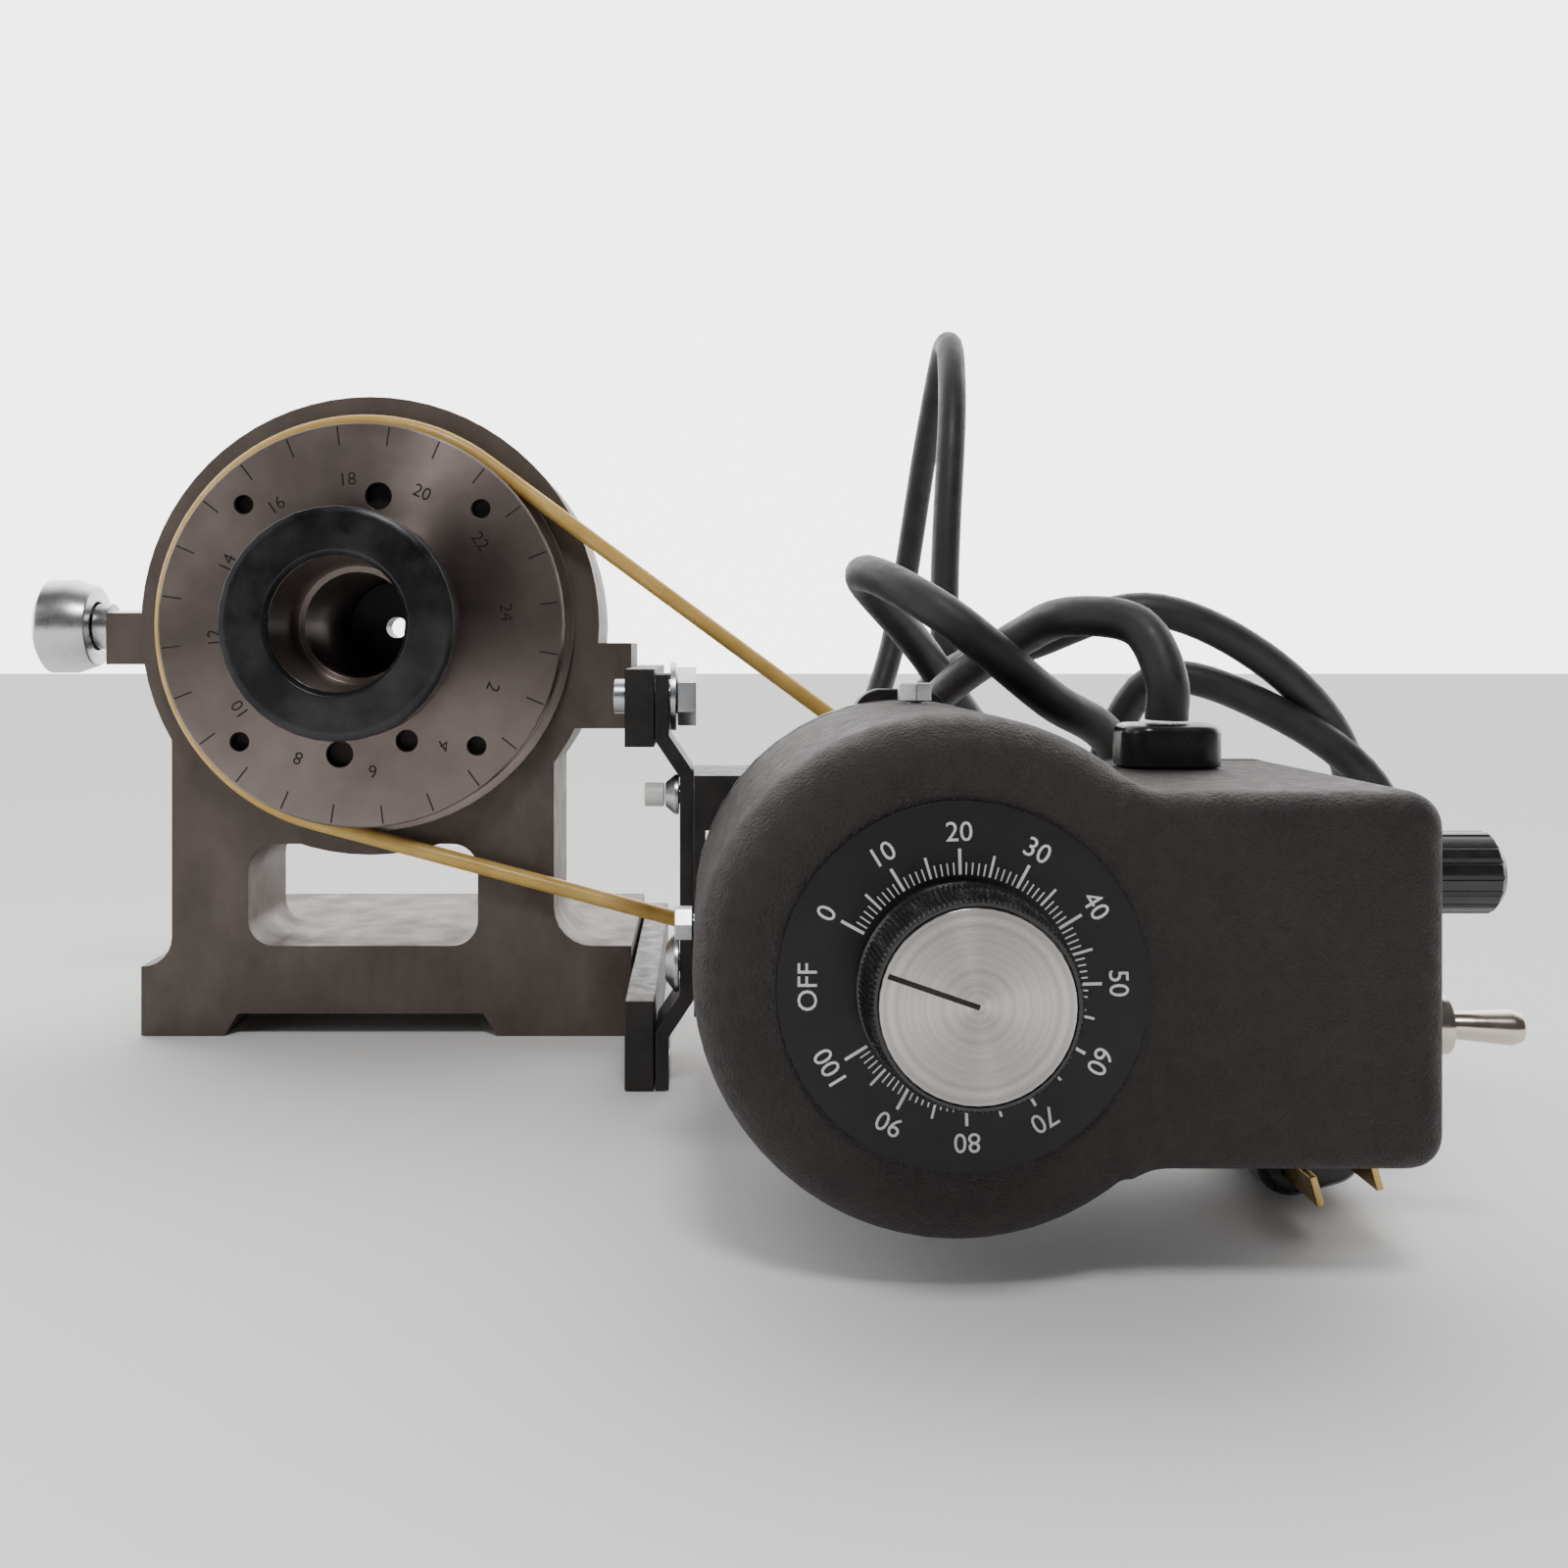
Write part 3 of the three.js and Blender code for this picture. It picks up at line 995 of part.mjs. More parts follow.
function toggleBody() {
  const depth = [TOGGLE_Y - TOGGLE.half_width, TOGGLE_Y + TOGGLE.half_width];
  const height = [TOGGLE_Z - TOGGLE.half_height, TOGGLE_Z + TOGGLE.half_height];
  const inside = box(CASE_RIGHT - TOGGLE.inside, CASE_RIGHT - CASE_WALL - GAP, ...depth, ...height);
  const threaded = rodX(TOGGLE_Y, TOGGLE_Z, TOGGLE.bush - 0.1, CASE_RIGHT - 4, CASE_RIGHT + TOGGLE.reach, 28);
  const mouth = rodX(TOGGLE_Y, TOGGLE_Z, 3, togglePivot - 5, togglePivot, 24, 4.8);
  const lip = rodX(TOGGLE_Y, TOGGLE_Z, 4.8, togglePivot - 0.01, togglePivot + 4, 24);
  return cut(inside.add(threaded), mouth, lip);
}

// The bat of the switch, leaning by BAT.tilt at rest.
function toggleLever() {
  const profile = [
    [0, -3], [1.8, -2.4], [BAT.base - 0.2, 0], [BAT.base, 3], [BAT.tip, BAT.length],
    [BAT.tip - 0.9, BAT.length + 2.2], [0, BAT.length + 3],
  ];
  const geometry = new THREE.LatheGeometry(profile.map(([radius, x]) => new THREE.Vector2(radius, x)), 24);
  geometry.rotateZ(-Math.PI / 2);
  geometry.rotateZ(THREE.MathUtils.degToRad(-BAT.tilt));
  geometry.translate(togglePivot, TOGGLE_Y, TOGGLE_Z);
  return solid(geometry);
}

function toggleNut() {
  const left = CASE_RIGHT + GAP;
  const hex = rodX(TOGGLE_Y, TOGGLE_Z, TOGGLE_NUT.across / Math.sqrt(3), left, left + TOGGLE_NUT.thick, 6);
  return hex.subtract(rodX(TOGGLE_Y, TOGGLE_Z, TOGGLE.bush + GAP, left - 1, left + 4, 28));
}

add("toggle_body", "nickel", toggleBody());
add("toggle_nut", "nickel", toggleNut());
add("toggle_lever", "nickel", toggleLever());

function strainRelief() {
  const seat = CASE_TOP + GAP;
  const half = RELIEF.length / 2;
  const depth = [RELIEF_Y - RELIEF.width / 2, RELIEF_Y + RELIEF.width / 2];
  const outline = rounded(RELIEF_X - half, RELIEF_X + half, ...depth, RELIEF.corner);
  const geometry = new THREE.ExtrudeGeometry(outline, {
    depth: RELIEF.height - 2,
    bevelThickness: 2,
    bevelSize: 2,
    bevelOffset: -2,
    bevelSegments: 2,
    curveSegments: 5,
  });
  geometry.translate(0, 0, seat);
  const under = box(RELIEF_X - 30, RELIEF_X + 30, RELIEF_Y - 20, RELIEF_Y + 20, seat - 5, seat);
  const stem = rodZ(RELIEF_X, RELIEF_Y, RELIEF.stem, CASE_TOP - 8, seat + 1);
  return solid(geometry).subtract(under).add(stem);
}

add("strain_relief", "moulded_black", strainRelief());

// ---------------------------------------------------------------- plug and cord
function rolled(geometry) {
  geometry.rotateY(THREE.MathUtils.degToRad(-PLUG.roll));
  geometry.translate(PLUG.x, 0, PLUG.z);
  return solid(geometry);
}

function plugBody() {
  const half = PLUG.width / 2;
  const outline = rounded(-half, half, -PLUG.height / 2, PLUG.height / 2, PLUG.height / 2 - 1);
  const geometry = new THREE.ExtrudeGeometry(outline, {
    depth: PLUG.length - 4,
    bevelThickness: 2,
    bevelSize: 1.5,
    bevelOffset: -1.5,
    bevelSegments: 1,
    curveSegments: 5,
  });
  geometry.rotateX(Math.PI / 2);
  geometry.translate(0, PLUG.y + PLUG.length - 2, 0);
  return rolled(geometry);
}

function plugBlade(side) {
  const geometry = new THREE.BoxGeometry(BLADE.thick, BLADE.length, BLADE.width);
  geometry.translate((side * BLADE.spacing) / 2, PLUG.y - GAP - BLADE.length / 2, 0);
  return rolled(geometry);
}

add("plug_body", "moulded_black", plugBody());
add("plug_blade_left", "brass", plugBlade(-1));
add("plug_blade_right", "brass", plugBlade(1));

// The cord's route, from the top of the strain relief to the back of the plug.
const cordStart = CASE_TOP + GAP + RELIEF.height + GAP + 0.4;
const CORD_ROUTE = [
  [206, -133, cordStart], [206, -133, 113], [201.5, -127, 125], [188.4, -116, 127.5],
  [181.2, -97, 123], [172, -66, 113], [168, -36, 105], [160, 20, 97], [156, 84, 76], [175, 118, 120],
  [188, 113, 200], [191, 86, 229], [188, 54, 206], [183, 38, 125], [190, 36, 44], [238, 36, 7.5],
  [278, 14, 16], [294, -14, 52], [284, -36, 92], [258, -44, 118], [226, -44, 131], [196, -32, 121],
  [177, -8, 112], [163, 40, 78], [190, 72, 16], [212, 28, 50], [171, -27, 113], [144, -82, 139],
  [160, -114, 128], [186, -107, 108], [204, -94, 97], [222, -68, 54], [215, -30, 70], [230, -38, 111],
  [262, -42, 103], [291, -46, 78], [296, -34, 24], [262, -18, 7.5], [239, -56, 7.8],
  [PLUG.x, PLUG.y + PLUG.length + 0.4, PLUG.z],
];

function powerCord() {
  const points = CORD_ROUTE.map(([x, y, z]) => new THREE.Vector3(x, y, z));
  const path = new THREE.CatmullRomCurve3(points, false, "centripetal");
  const section = new THREE.Shape();
  const sides = 8;
  for (let i = 0; i < sides; i += 1) {
    const turn = (i / sides) * TAU;
    const point = [(CORD_DIAMETER / 2) * Math.cos(turn), (CORD_DIAMETER / 2) * Math.sin(turn)];
    if (i === 0) section.moveTo(...point);
    else section.lineTo(...point);
  }
  section.closePath();
  const settings = { steps: 80, extrudePath: path, bevelEnabled: false, curveSegments: 1 };
  return new THREE.ExtrudeGeometry(section, settings);
}

place("power_cord", "cord_rubber", powerCord());

// ---------------------------------------------------------------- the origin
const CORD_NODES = ["power_cord", "plug_body", "plug_blade_left", "plug_blade_right"];

function objectBox() {
  const whole = new THREE.Box3();
  for (const mesh of body.children) if (!CORD_NODES.includes(mesh.name)) whole.expandByObject(mesh);
  return whole;
}

const extent = objectBox();
const middle = extent.getCenter(new THREE.Vector3());
body.position.set(-middle.x, -middle.y, -extent.min.z);

export default model;
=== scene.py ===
"""Looks for the motorised collet index head: materials, softened edges, the printed scale and the cord."""
import json
import math

import bmesh
import bpy
from mathutils import Matrix, Vector


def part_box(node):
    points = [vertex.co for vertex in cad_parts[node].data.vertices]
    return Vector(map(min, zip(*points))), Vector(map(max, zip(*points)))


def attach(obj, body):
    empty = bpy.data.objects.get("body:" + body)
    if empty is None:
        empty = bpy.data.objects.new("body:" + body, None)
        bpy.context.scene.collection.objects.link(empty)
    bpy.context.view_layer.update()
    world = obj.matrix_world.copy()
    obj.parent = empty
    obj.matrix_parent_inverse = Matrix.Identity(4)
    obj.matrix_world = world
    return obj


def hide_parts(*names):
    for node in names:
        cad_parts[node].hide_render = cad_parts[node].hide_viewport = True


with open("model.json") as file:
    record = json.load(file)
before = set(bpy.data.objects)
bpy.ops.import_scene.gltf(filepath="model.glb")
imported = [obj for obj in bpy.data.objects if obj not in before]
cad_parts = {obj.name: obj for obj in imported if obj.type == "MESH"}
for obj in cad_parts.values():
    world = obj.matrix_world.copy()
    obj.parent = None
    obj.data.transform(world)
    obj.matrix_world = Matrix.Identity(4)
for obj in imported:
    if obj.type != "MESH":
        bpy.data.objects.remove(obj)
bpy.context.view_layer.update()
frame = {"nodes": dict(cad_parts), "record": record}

MM = 0.001


def middle(node):
    low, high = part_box(node)
    return (low + high) / 2


SPINDLE = middle("index_plate")
BELT_Y = middle("drive_belt").y
DIAL = middle("dial_plate")
ORIGIN = Vector((SPINDLE.x, BELT_Y, 0))  # under the spindle, in the belt's plane


def at(x, y, z):
    """A point given in millimetres from under the spindle, in the row frame."""
    return ORIGIN + Vector((x, y, z)) * MM


# ---------------------------------------------------------------- camera and light
def camera():
    data = bpy.data.cameras.new("view")
    data.lens = 36
    data.sensor_width = 36
    data.shift_x = 0.05
    data.shift_y = -0.0875
    data.clip_start = 0.01
    view = bpy.data.objects.new("view", data)
    view.location = at(104, -480, 120.5)
    view.rotation_euler = (math.pi / 2, 0, 0)
    bpy.context.collection.objects.link(view)
    bpy.context.scene.camera = view


def area_light(name, place, aim, size, power):
    data = bpy.data.lights.new(name, "AREA")
    data.shape = "RECTANGLE"
    data.size, data.size_y = size
    data.energy = power
    lamp = bpy.data.objects.new(name, data)
    lamp.location = Vector(place)
    lamp.rotation_euler = (Vector(aim) - Vector(place)).to_track_quat("-Z", "Y").to_euler()
    bpy.context.collection.objects.link(lamp)


# Brightness of the surroundings from in front of the object (0) to behind it (1).
SURROUNDINGS = ((0.0, 0.09), (0.45, 0.16), (0.60, 1.2), (0.74, 3.6), (1.0, 4.6))


def bright_surroundings():
    """White paper behind and above, a dim room in front, so that the faces towards the viewer stay dark."""
    world = bpy.data.worlds.new("studio")
    world.use_nodes = True
    nodes, links = world.node_tree.nodes, world.node_tree.links
    coords = nodes.new("ShaderNodeTexCoord").outputs["Generated"]
    split = nodes.new("ShaderNodeSeparateXYZ")
    links.new(coords, split.inputs[0])
    shift = nodes.new("ShaderNodeMath")
    shift.operation = "MULTIPLY_ADD"
    shift.inputs[1].default_value = 0.5
    shift.inputs[2].default_value = 0.5
    links.new(split.outputs["Y"], shift.inputs[0])
    ramp = nodes.new("ShaderNodeValToRGB")
    elements = ramp.color_ramp.elements
    while len(elements) < len(SURROUNDINGS):
        elements.new(0.5)
    for element, (position, level) in zip(elements, SURROUNDINGS):
        element.position = position
        element.color = (level, level * 0.985, level * 0.97, 1)
    links.new(shift.outputs[0], ramp.inputs["Fac"])
    links.new(ramp.outputs["Color"], nodes["Background"].inputs["Color"])
    bpy.context.scene.world = world


def studio():
    bright_surroundings()
    aim = (0.03, 0, 0.08)
    area_light("key", (0.05, -0.75, 1.0), aim, (0.22, 0.22), 6)
    area_light("fill", (-0.8, -0.5, 0.45), aim, (0.3, 0.7), 1.5)
    bpy.ops.mesh.primitive_plane_add(size=8, location=(0, 2.6, 0))
    floor = bpy.context.object
    floor.name = "floor"
    floor.location.z = -0.0002
    floor.data.materials.append(plain("paper", (0.82, 0.82, 0.82), 0.9))


def plain(name, color, roughness):
    material = bpy.data.materials.new(name)
    material.use_nodes = True
    shader = material.node_tree.nodes["Principled BSDF"]
    shader.inputs["Base Color"].default_value = (*color, 1)
    shader.inputs["Roughness"].default_value = roughness
    return material


# ---------------------------------------------------------------- materials
class Finish:
    """A principled material with a few helpers for procedural detail."""

    def __init__(self, name, metallic=0.0, roughness=0.5):
        self.material = bpy.data.materials.new(name)
        self.material.use_nodes = True
        self.nodes = self.material.node_tree.nodes
        self.links = self.material.node_tree.links
        self.shader = self.nodes["Principled BSDF"]
        self.shader.inputs["Metallic"].default_value = metallic
        self.shader.inputs["Roughness"].default_value = roughness
        self.coords = self.nodes.new("ShaderNodeTexCoord").outputs["Object"]
        self.height = None

    def noise(self, scale, detail=4.0, rough=0.55, vector=None):
        node = self.nodes.new("ShaderNodeTexNoise")
        node.inputs["Scale"].default_value = scale
        node.inputs["Detail"].default_value = detail
        node.inputs["Roughness"].default_value = rough
        self.links.new(vector or self.coords, node.inputs["Vector"])
        return node.outputs["Fac"]

    def cells(self, scale):
        node = self.nodes.new("ShaderNodeTexVoronoi")
        node.feature = "SMOOTH_F1"
        node.inputs["Scale"].default_value = scale
        self.links.new(self.coords, node.inputs["Vector"])
        return node.outputs["Distance"]

    def stretched(self, x, y, z):
        node = self.nodes.new("ShaderNodeMapping")
        node.inputs["Scale"].default_value = (x, y, z)
        self.links.new(self.coords, node.inputs["Vector"])
        return node.outputs["Vector"]

    def rings(self, centre, scale):
        """Noise that depends on the distance from an axis along Y, as turning marks do."""
        shift = self.nodes.new("ShaderNodeVectorMath")
        shift.operation = "SUBTRACT"
        shift.inputs[1].default_value = centre
        self.links.new(self.coords, shift.inputs[0])
        flat = self.nodes.new("ShaderNodeVectorMath")
        flat.operation = "MULTIPLY"
        flat.inputs[1].default_value = (1, 0, 1)
        self.links.new(shift.outputs[0], flat.inputs[0])
        length = self.nodes.new("ShaderNodeVectorMath")
        length.operation = "LENGTH"
        self.links.new(flat.outputs[0], length.inputs[0])
        node = self.nodes.new("ShaderNodeTexNoise")
        node.noise_dimensions = "1D"
        node.inputs["Scale"].default_value = scale
        node.inputs["Detail"].default_value = 3
        self.links.new(length.outputs["Value"], node.inputs["W"])
        return node.outputs["Fac"]

    def ramp(self, value, stops, socket):
        node = self.nodes.new("ShaderNodeValToRGB")
        elements = node.color_ramp.elements
        while len(elements) < len(stops):
            elements.new(0.5)
        for element, (position, color) in zip(elements, stops):
            element.position = position
            element.color = (*color, 1) if len(color) == 3 else color
        self.links.new(value, node.inputs["Fac"])
        self.links.new(node.outputs["Color"], self.shader.inputs[socket])
        return self

    def turned_highlight(self, strength):
        """Bow-tie highlights, as on a face turned about an axis along Y."""
        tangent = self.nodes.new("ShaderNodeTangent")
        tangent.direction_type = "RADIAL"
        tangent.axis = "Y"
        self.shader.inputs["Anisotropic"].default_value = strength
        self.shader.inputs["Anisotropic Rotation"].default_value = 0.25
        self.links.new(tangent.outputs[0], self.shader.inputs["Tangent"])

    def color(self, value, *stops):
        return self.ramp(value, stops, "Base Color")

    def roughness(self, value, low, high):
        stops = ((0.3, (low,) * 3), (0.7, (high,) * 3))
        return self.ramp(value, stops, "Roughness")

    def bump(self, value, distance, strength=1.0):
        node = self.nodes.new("ShaderNodeBump")
        node.inputs["Distance"].default_value = distance
        node.inputs["Strength"].default_value = strength
        self.links.new(value, node.inputs["Height"])
        if self.height is not None:
            self.links.new(self.height, node.inputs["Normal"])
        self.links.new(node.outputs["Normal"], self.shader.inputs["Normal"])
        self.height = node.outputs["Normal"]
        return self


def cast_iron():
    f = Finish("cast_iron", 0.55)
    streaks = f.noise(60, 7, 0.62, f.stretched(1.0, 0.8, 0.5))
    f.color(streaks, (0.30, (0.088, 0.070, 0.061)), (0.52, (0.115, 0.093, 0.082)), (0.74, (0.145, 0.119, 0.105)))
    f.roughness(f.noise(90, 5), 0.46, 0.66)
    f.bump(f.noise(300, 3, 0.5, f.stretched(1.0, 0.2, 0.12)), 0.0001, 0.45)
    return f.bump(f.noise(900, 3), 0.00007, 0.5).material


def turned_steel():
    f = Finish("turned_steel", 1.0)
    f.color(f.noise(22, 5, 0.6), (0.30, (0.20, 0.160, 0.148)), (0.52, (0.27, 0.225, 0.208)), (0.74, (0.34, 0.29, 0.27)))
    f.roughness(f.noise(70, 6, 0.6), 0.30, 0.40)
    f.turned_highlight(0.8)
    f.bump(f.rings(SPINDLE, 2600), 0.00003, 0.55)
    return f.bump(f.noise(500, 3), 0.00002, 0.5).material


def black_oxide():
    f = Finish("black_oxide", 0.7)
    f.color(f.noise(60, 5), (0.35, (0.018, 0.018, 0.021)), (0.7, (0.052, 0.050, 0.052)))
    f.roughness(f.noise(120, 4), 0.26, 0.42)
    return f.bump(f.rings(SPINDLE, 2000), 0.00002, 0.5).material


def satin(name, metallic, colors, rough, grain, depth, shine=0.5):
    """An even metal or plastic with a fine grain: two colours, two roughnesses, grain scale and depth."""
    f = Finish(name, metallic)
    f.shader.inputs["Specular IOR Level"].default_value = shine
    f.color(f.noise(grain / 6, 5), (0.32, colors[0]), (0.70, colors[1]))
    f.roughness(f.noise(grain / 3, 4), *rough)
    return f.bump(f.noise(grain, 3), depth, 0.6).material


def wrinkle_black():
    f = Finish("wrinkle_black", 0.0)
    f.color(f.noise(45, 6, 0.6), (0.34, (0.017, 0.0135, 0.013)), (0.62, (0.024, 0.0190, 0.018)), (0.80, (0.040, 0.028, 0.023)))
    f.roughness(f.noise(300, 3), 0.52, 0.70)
    f.shader.inputs["Specular IOR Level"].default_value = 0.35
    f.bump(f.noise(1700, 2, 0.5), 0.00045, 1.0)
    return f.bump(f.cells(2200), 0.0002, 0.6).material


def spun_aluminium():
    f = Finish("spun_aluminium", 1.0)
    f.color(f.rings(DIAL, 900), (0.30, (0.34, 0.32, 0.305)), (0.70, (0.46, 0.435, 0.415)))
    f.roughness(f.rings(DIAL, 1800), 0.24, 0.32)
    f.turned_highlight(0.92)
    return f.bump(f.rings(DIAL, 5200), 0.000012, 0.8).material


def belt_urethane():
    f = Finish("belt_urethane", 0.0)
    f.color(f.noise(60, 4), (0.30, (0.56, 0.34, 0.07)), (0.70, (0.74, 0.52, 0.16)))
    f.roughness(f.noise(160, 3), 0.28, 0.42)
    f.shader.inputs["Subsurface Weight"].default_value = 0.45
    f.shader.inputs["Subsurface Radius"].default_value = (0.006, 0.004, 0.0015)
    f.shader.inputs["Subsurface Scale"].default_value = 0.6
    return f.bump(f.noise(700, 2), 0.00004, 0.5).material


def clear_glass():
    f = Finish("clear_glass", 0.0)
    f.shader.inputs["Transmission Weight"].default_value = 0.9
    f.roughness(f.noise(100), 0.04, 0.10)
    return f.color(f.noise(40), (0.3, (0.80, 0.84, 0.84)), (0.7, (0.90, 0.93, 0.93))).material


MATERIALS = {
    "cast_iron": cast_iron(),
    "turned_steel": turned_steel(),
    "black_oxide": black_oxide(),
    "bronze": satin("bronze", 0.95, ((0.30, 0.19, 0.08), (0.46, 0.32, 0.15)), (0.28, 0.44), 600, 0.00004),
    "zinc": satin("zinc", 1.0, ((0.48, 0.49, 0.51), (0.58, 0.60, 0.62)), (0.25, 0.34), 700, 0.00003),
    "bright_aluminium": satin("bright_aluminium", 1.0, ((0.52, 0.52, 0.53), (0.58, 0.58, 0.58)), (0.25, 0.31), 800, 0.00002),
    "blackened_steel": satin("blackened_steel", 0.45, ((0.012, 0.012, 0.012), (0.036, 0.032, 0.030)), (0.38, 0.60), 650, 0.00008),
    "belt_urethane": belt_urethane(),
    "wrinkle_black": wrinkle_black(),
    "dial_black": satin("dial_black", 0.0, ((0.004, 0.004, 0.005), (0.008, 0.008, 0.009)), (0.34, 0.44), 900, 0.00001, 0.3),
    "moulded_black": satin("moulded_black", 0.0, ((0.008, 0.008, 0.009), (0.016, 0.016, 0.018)), (0.16, 0.30), 500, 0.00003),
    "nickel": satin("nickel", 1.0, ((0.54, 0.48, 0.42), (0.62, 0.56, 0.50)), (0.14, 0.22), 600, 0.00002),
    "brass": satin("brass", 1.0, ((0.44, 0.30, 0.10), (0.64, 0.47, 0.20)), (0.22, 0.38), 600, 0.00003),
    "copper_winding": satin("copper_winding", 0.8, ((0.26, 0.09, 0.03), (0.48, 0.22, 0.09)), (0.30, 0.48), 900, 0.0001),
    "nylon": satin("nylon", 0.0, ((0.66, 0.65, 0.61), (0.80, 0.79, 0.76)), (0.36, 0.50), 500, 0.00003),
    "cord_rubber": satin("cord_rubber", 0.0, ((0.012, 0.012, 0.013), (0.026, 0.026, 0.027)), (0.46, 0.62), 900, 0.00005),
    "glass": clear_glass(),
}
SPUN = spun_aluminium()
PRINT = satin("print_white", 0.0, ((0.60, 0.58, 0.57), (0.78, 0.76, 0.75)), (0.40, 0.52), 900, 0.00001)
# dark fill of the engraved marks and the knob pointer; the same dark is painted shade inside the index plate's tapped
# holes
ENGRAVING_AND_HOLE_SHADE = satin("engraving_and_hole_shade", 0.5, ((0.010, 0.008, 0.008), (0.030, 0.024, 0.020)), (0.45, 0.60), 900, 0.00001)
SLOTS = {row["node"]: row["material_slot"] for row in frame["record"]["subparts"]}


def finish_nodes():
    for name, node in frame["nodes"].items():
        node.data.materials.clear()
        node.data.materials.append(MATERIALS[SLOTS[name]])


# ---------------------------------------------------------------- pieces
def piece(name, build, material, body="root"):
    """A new object from a bmesh, smooth where its faces meet gently, riding on a body."""
    mesh = bpy.data.meshes.new(name)
    build.normal_update()
    build.to_mesh(mesh)
    build.free()
    obj = bpy.data.objects.new(name, mesh)
    bpy.context.collection.objects.link(obj)
    mesh.materials.append(material)
    mesh.shade_smooth()
    mesh.set_sharp_from_angle(angle=math.radians(32))
    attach(obj, body)
    return obj


def modified(obj, kind, **settings):
    modifier = obj.modifiers.new(kind.lower(), kind)
    for key, value in settings.items():
        setattr(modifier, key, value)
    bpy.context.view_layer.update()
    depsgraph = bpy.context.evaluated_depsgraph_get()
    mesh = bpy.data.meshes.new_from_object(obj.evaluated_get(depsgraph))
    obj.modifiers.clear()
    obj.data = mesh


def body_of_node(name):
    for body, members in frame["record"]["behaviour"]["bodies"].items():
        if name in members:
            return body
    return "root"


def soften(node, width, segments=2, material=None):
    """Stands for a CAD node with its sharp edges broken by a small radius, as real edges are."""
    build = bmesh.new()
    build.from_mesh(frame["nodes"][node].data)
    bmesh.ops.remove_doubles(build, verts=build.verts, dist=2e-6)
    bmesh.ops.dissolve_limit(build, angle_limit=math.radians(0.6), verts=build.verts, edges=build.edges)
    obj = piece(node + "_fine", build, material or MATERIALS[SLOTS[node]], body_of_node(node))
    limits = {"limit_method": "ANGLE", "angle_limit": math.radians(32), "use_clamp_overlap": True}
    modified(obj, "BEVEL", width=width * MM, segments=segments, **limits)
    obj.data.shade_smooth()
    obj.data.set_sharp_from_angle(angle=math.radians(40))
    modified(obj, "WEIGHTED_NORMAL", weight=100, keep_sharp=True)
    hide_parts(node)
    return obj


EDGES = {
    "head_casting": 0.7, "upper_bar": 0.5, "foot_bar": 0.5, "clamp_strip": 0.35, "channel_bracket": 0.35,
    "index_plate": 0.18, "nose_ring": 0.35, "spindle": 0.25, "spindle_pulley": 0.25, "index_ring": 0.3,
    "draw_nut": 0.35, "thrust_collar": 0.35, "plunger_sleeve": 0.25, "plunger_knob": 0.4, "clamp_bolt": 0.3,
    "clamp_washer": 0.15, "upper_bracket_screw": 0.2, "lower_bracket_screw": 0.2, "end_cap": 0.5,
    "motor_can": 0.4, "motor_gearbox": 0.4, "motor_pulley": 0.3, "case_back": 0.25, "adapter_strap": 0.4,
    "cover_screw_top": 0.25, "cover_screw_left": 0.25, "cover_screw_bottom": 0.25, "strap_screw": 0.3,
    "dial_plate": 0.15, "fuse_holder": 0.3, "fuse_cap": 0.25, "toggle_body": 0.25, "toggle_nut": 0.25,
    "toggle_lever": 0.3, "strain_relief": 0.5, "plug_body": 0.6, "plug_blade_left": 0.2, "plug_blade_right": 0.2,
    "gearbox_screw_top": 0.25, "gearbox_screw_bottom": 0.25, "foot_screw": 0.15, "motor_shaft": 0.3,
}


def case_skin():
    """The case as one soft casting: remeshed and smoothed, so that its two ends flow into each other."""
    build = bmesh.new()
    build.from_mesh(frame["nodes"]["case_shell"].data)
    bmesh.ops.remove_doubles(build, verts=build.verts, dist=2e-6)
    obj = piece("case_skin", build, MATERIALS["wrinkle_black"])
    modified(obj, "REMESH", mode="VOXEL", voxel_size=0.9 * MM, use_smooth_shade=True)
    modified(obj, "SMOOTH", factor=0.5, iterations=7)
    obj.data.shade_smooth()
    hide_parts("case_shell")


def turned_mesh(profile, centre, sides, ripple=lambda index, radius: 0.0):
    """A closed profile of (radius, y) in millimetres turned about an axis along Y; ripple adds to the radius."""
    build = bmesh.new()
    rings = []
    for i in range(sides):
        turn = 2 * math.pi * i / sides
        ring = []
        for radius, y in profile:
            reach = (radius + ripple(i, radius)) * MM
            ring.append(build.verts.new((centre.x + reach * math.cos(turn), y, centre.z + reach * math.sin(turn))))
        rings.append(ring)
    count = len(profile)
    for i in range(sides):
        here, after = rings[i], rings[(i + 1) % sides]
        for k in range(count):
            build.faces.new((here[k], here[(k + 1) % count], after[(k + 1) % count], after[k]))
    bmesh.ops.recalc_face_normals(build, faces=build.faces)
    return build


def knob_grip():
    """The knurled skirt, round the CAD knob: fine straight ridges between two plain bands."""
    low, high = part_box("control_knob")
    front, rear = low.y, high.y
    face, base = 17.9, 19.6
    ridge = 0.28

    def ripple(index, radius):
        return ridge * (1 if index % 4 < 2 else 0) if radius > 17.7 else 0.0

    profile = [(17.35, front + 0.0003), (17.8, front - 0.00005), (face + 0.25, front + 0.0008)]
    profile += [(face + 0.5, front + 0.0016), (base - 0.55, rear - 0.0032), (base - 0.55, rear - 0.0027)]
    profile += [(17.35, rear - 0.0027)]
    build = turned_mesh(profile, DIAL, 480, ripple)
    piece("knob_grip", build, MATERIALS["moulded_black"], "speed_knob")


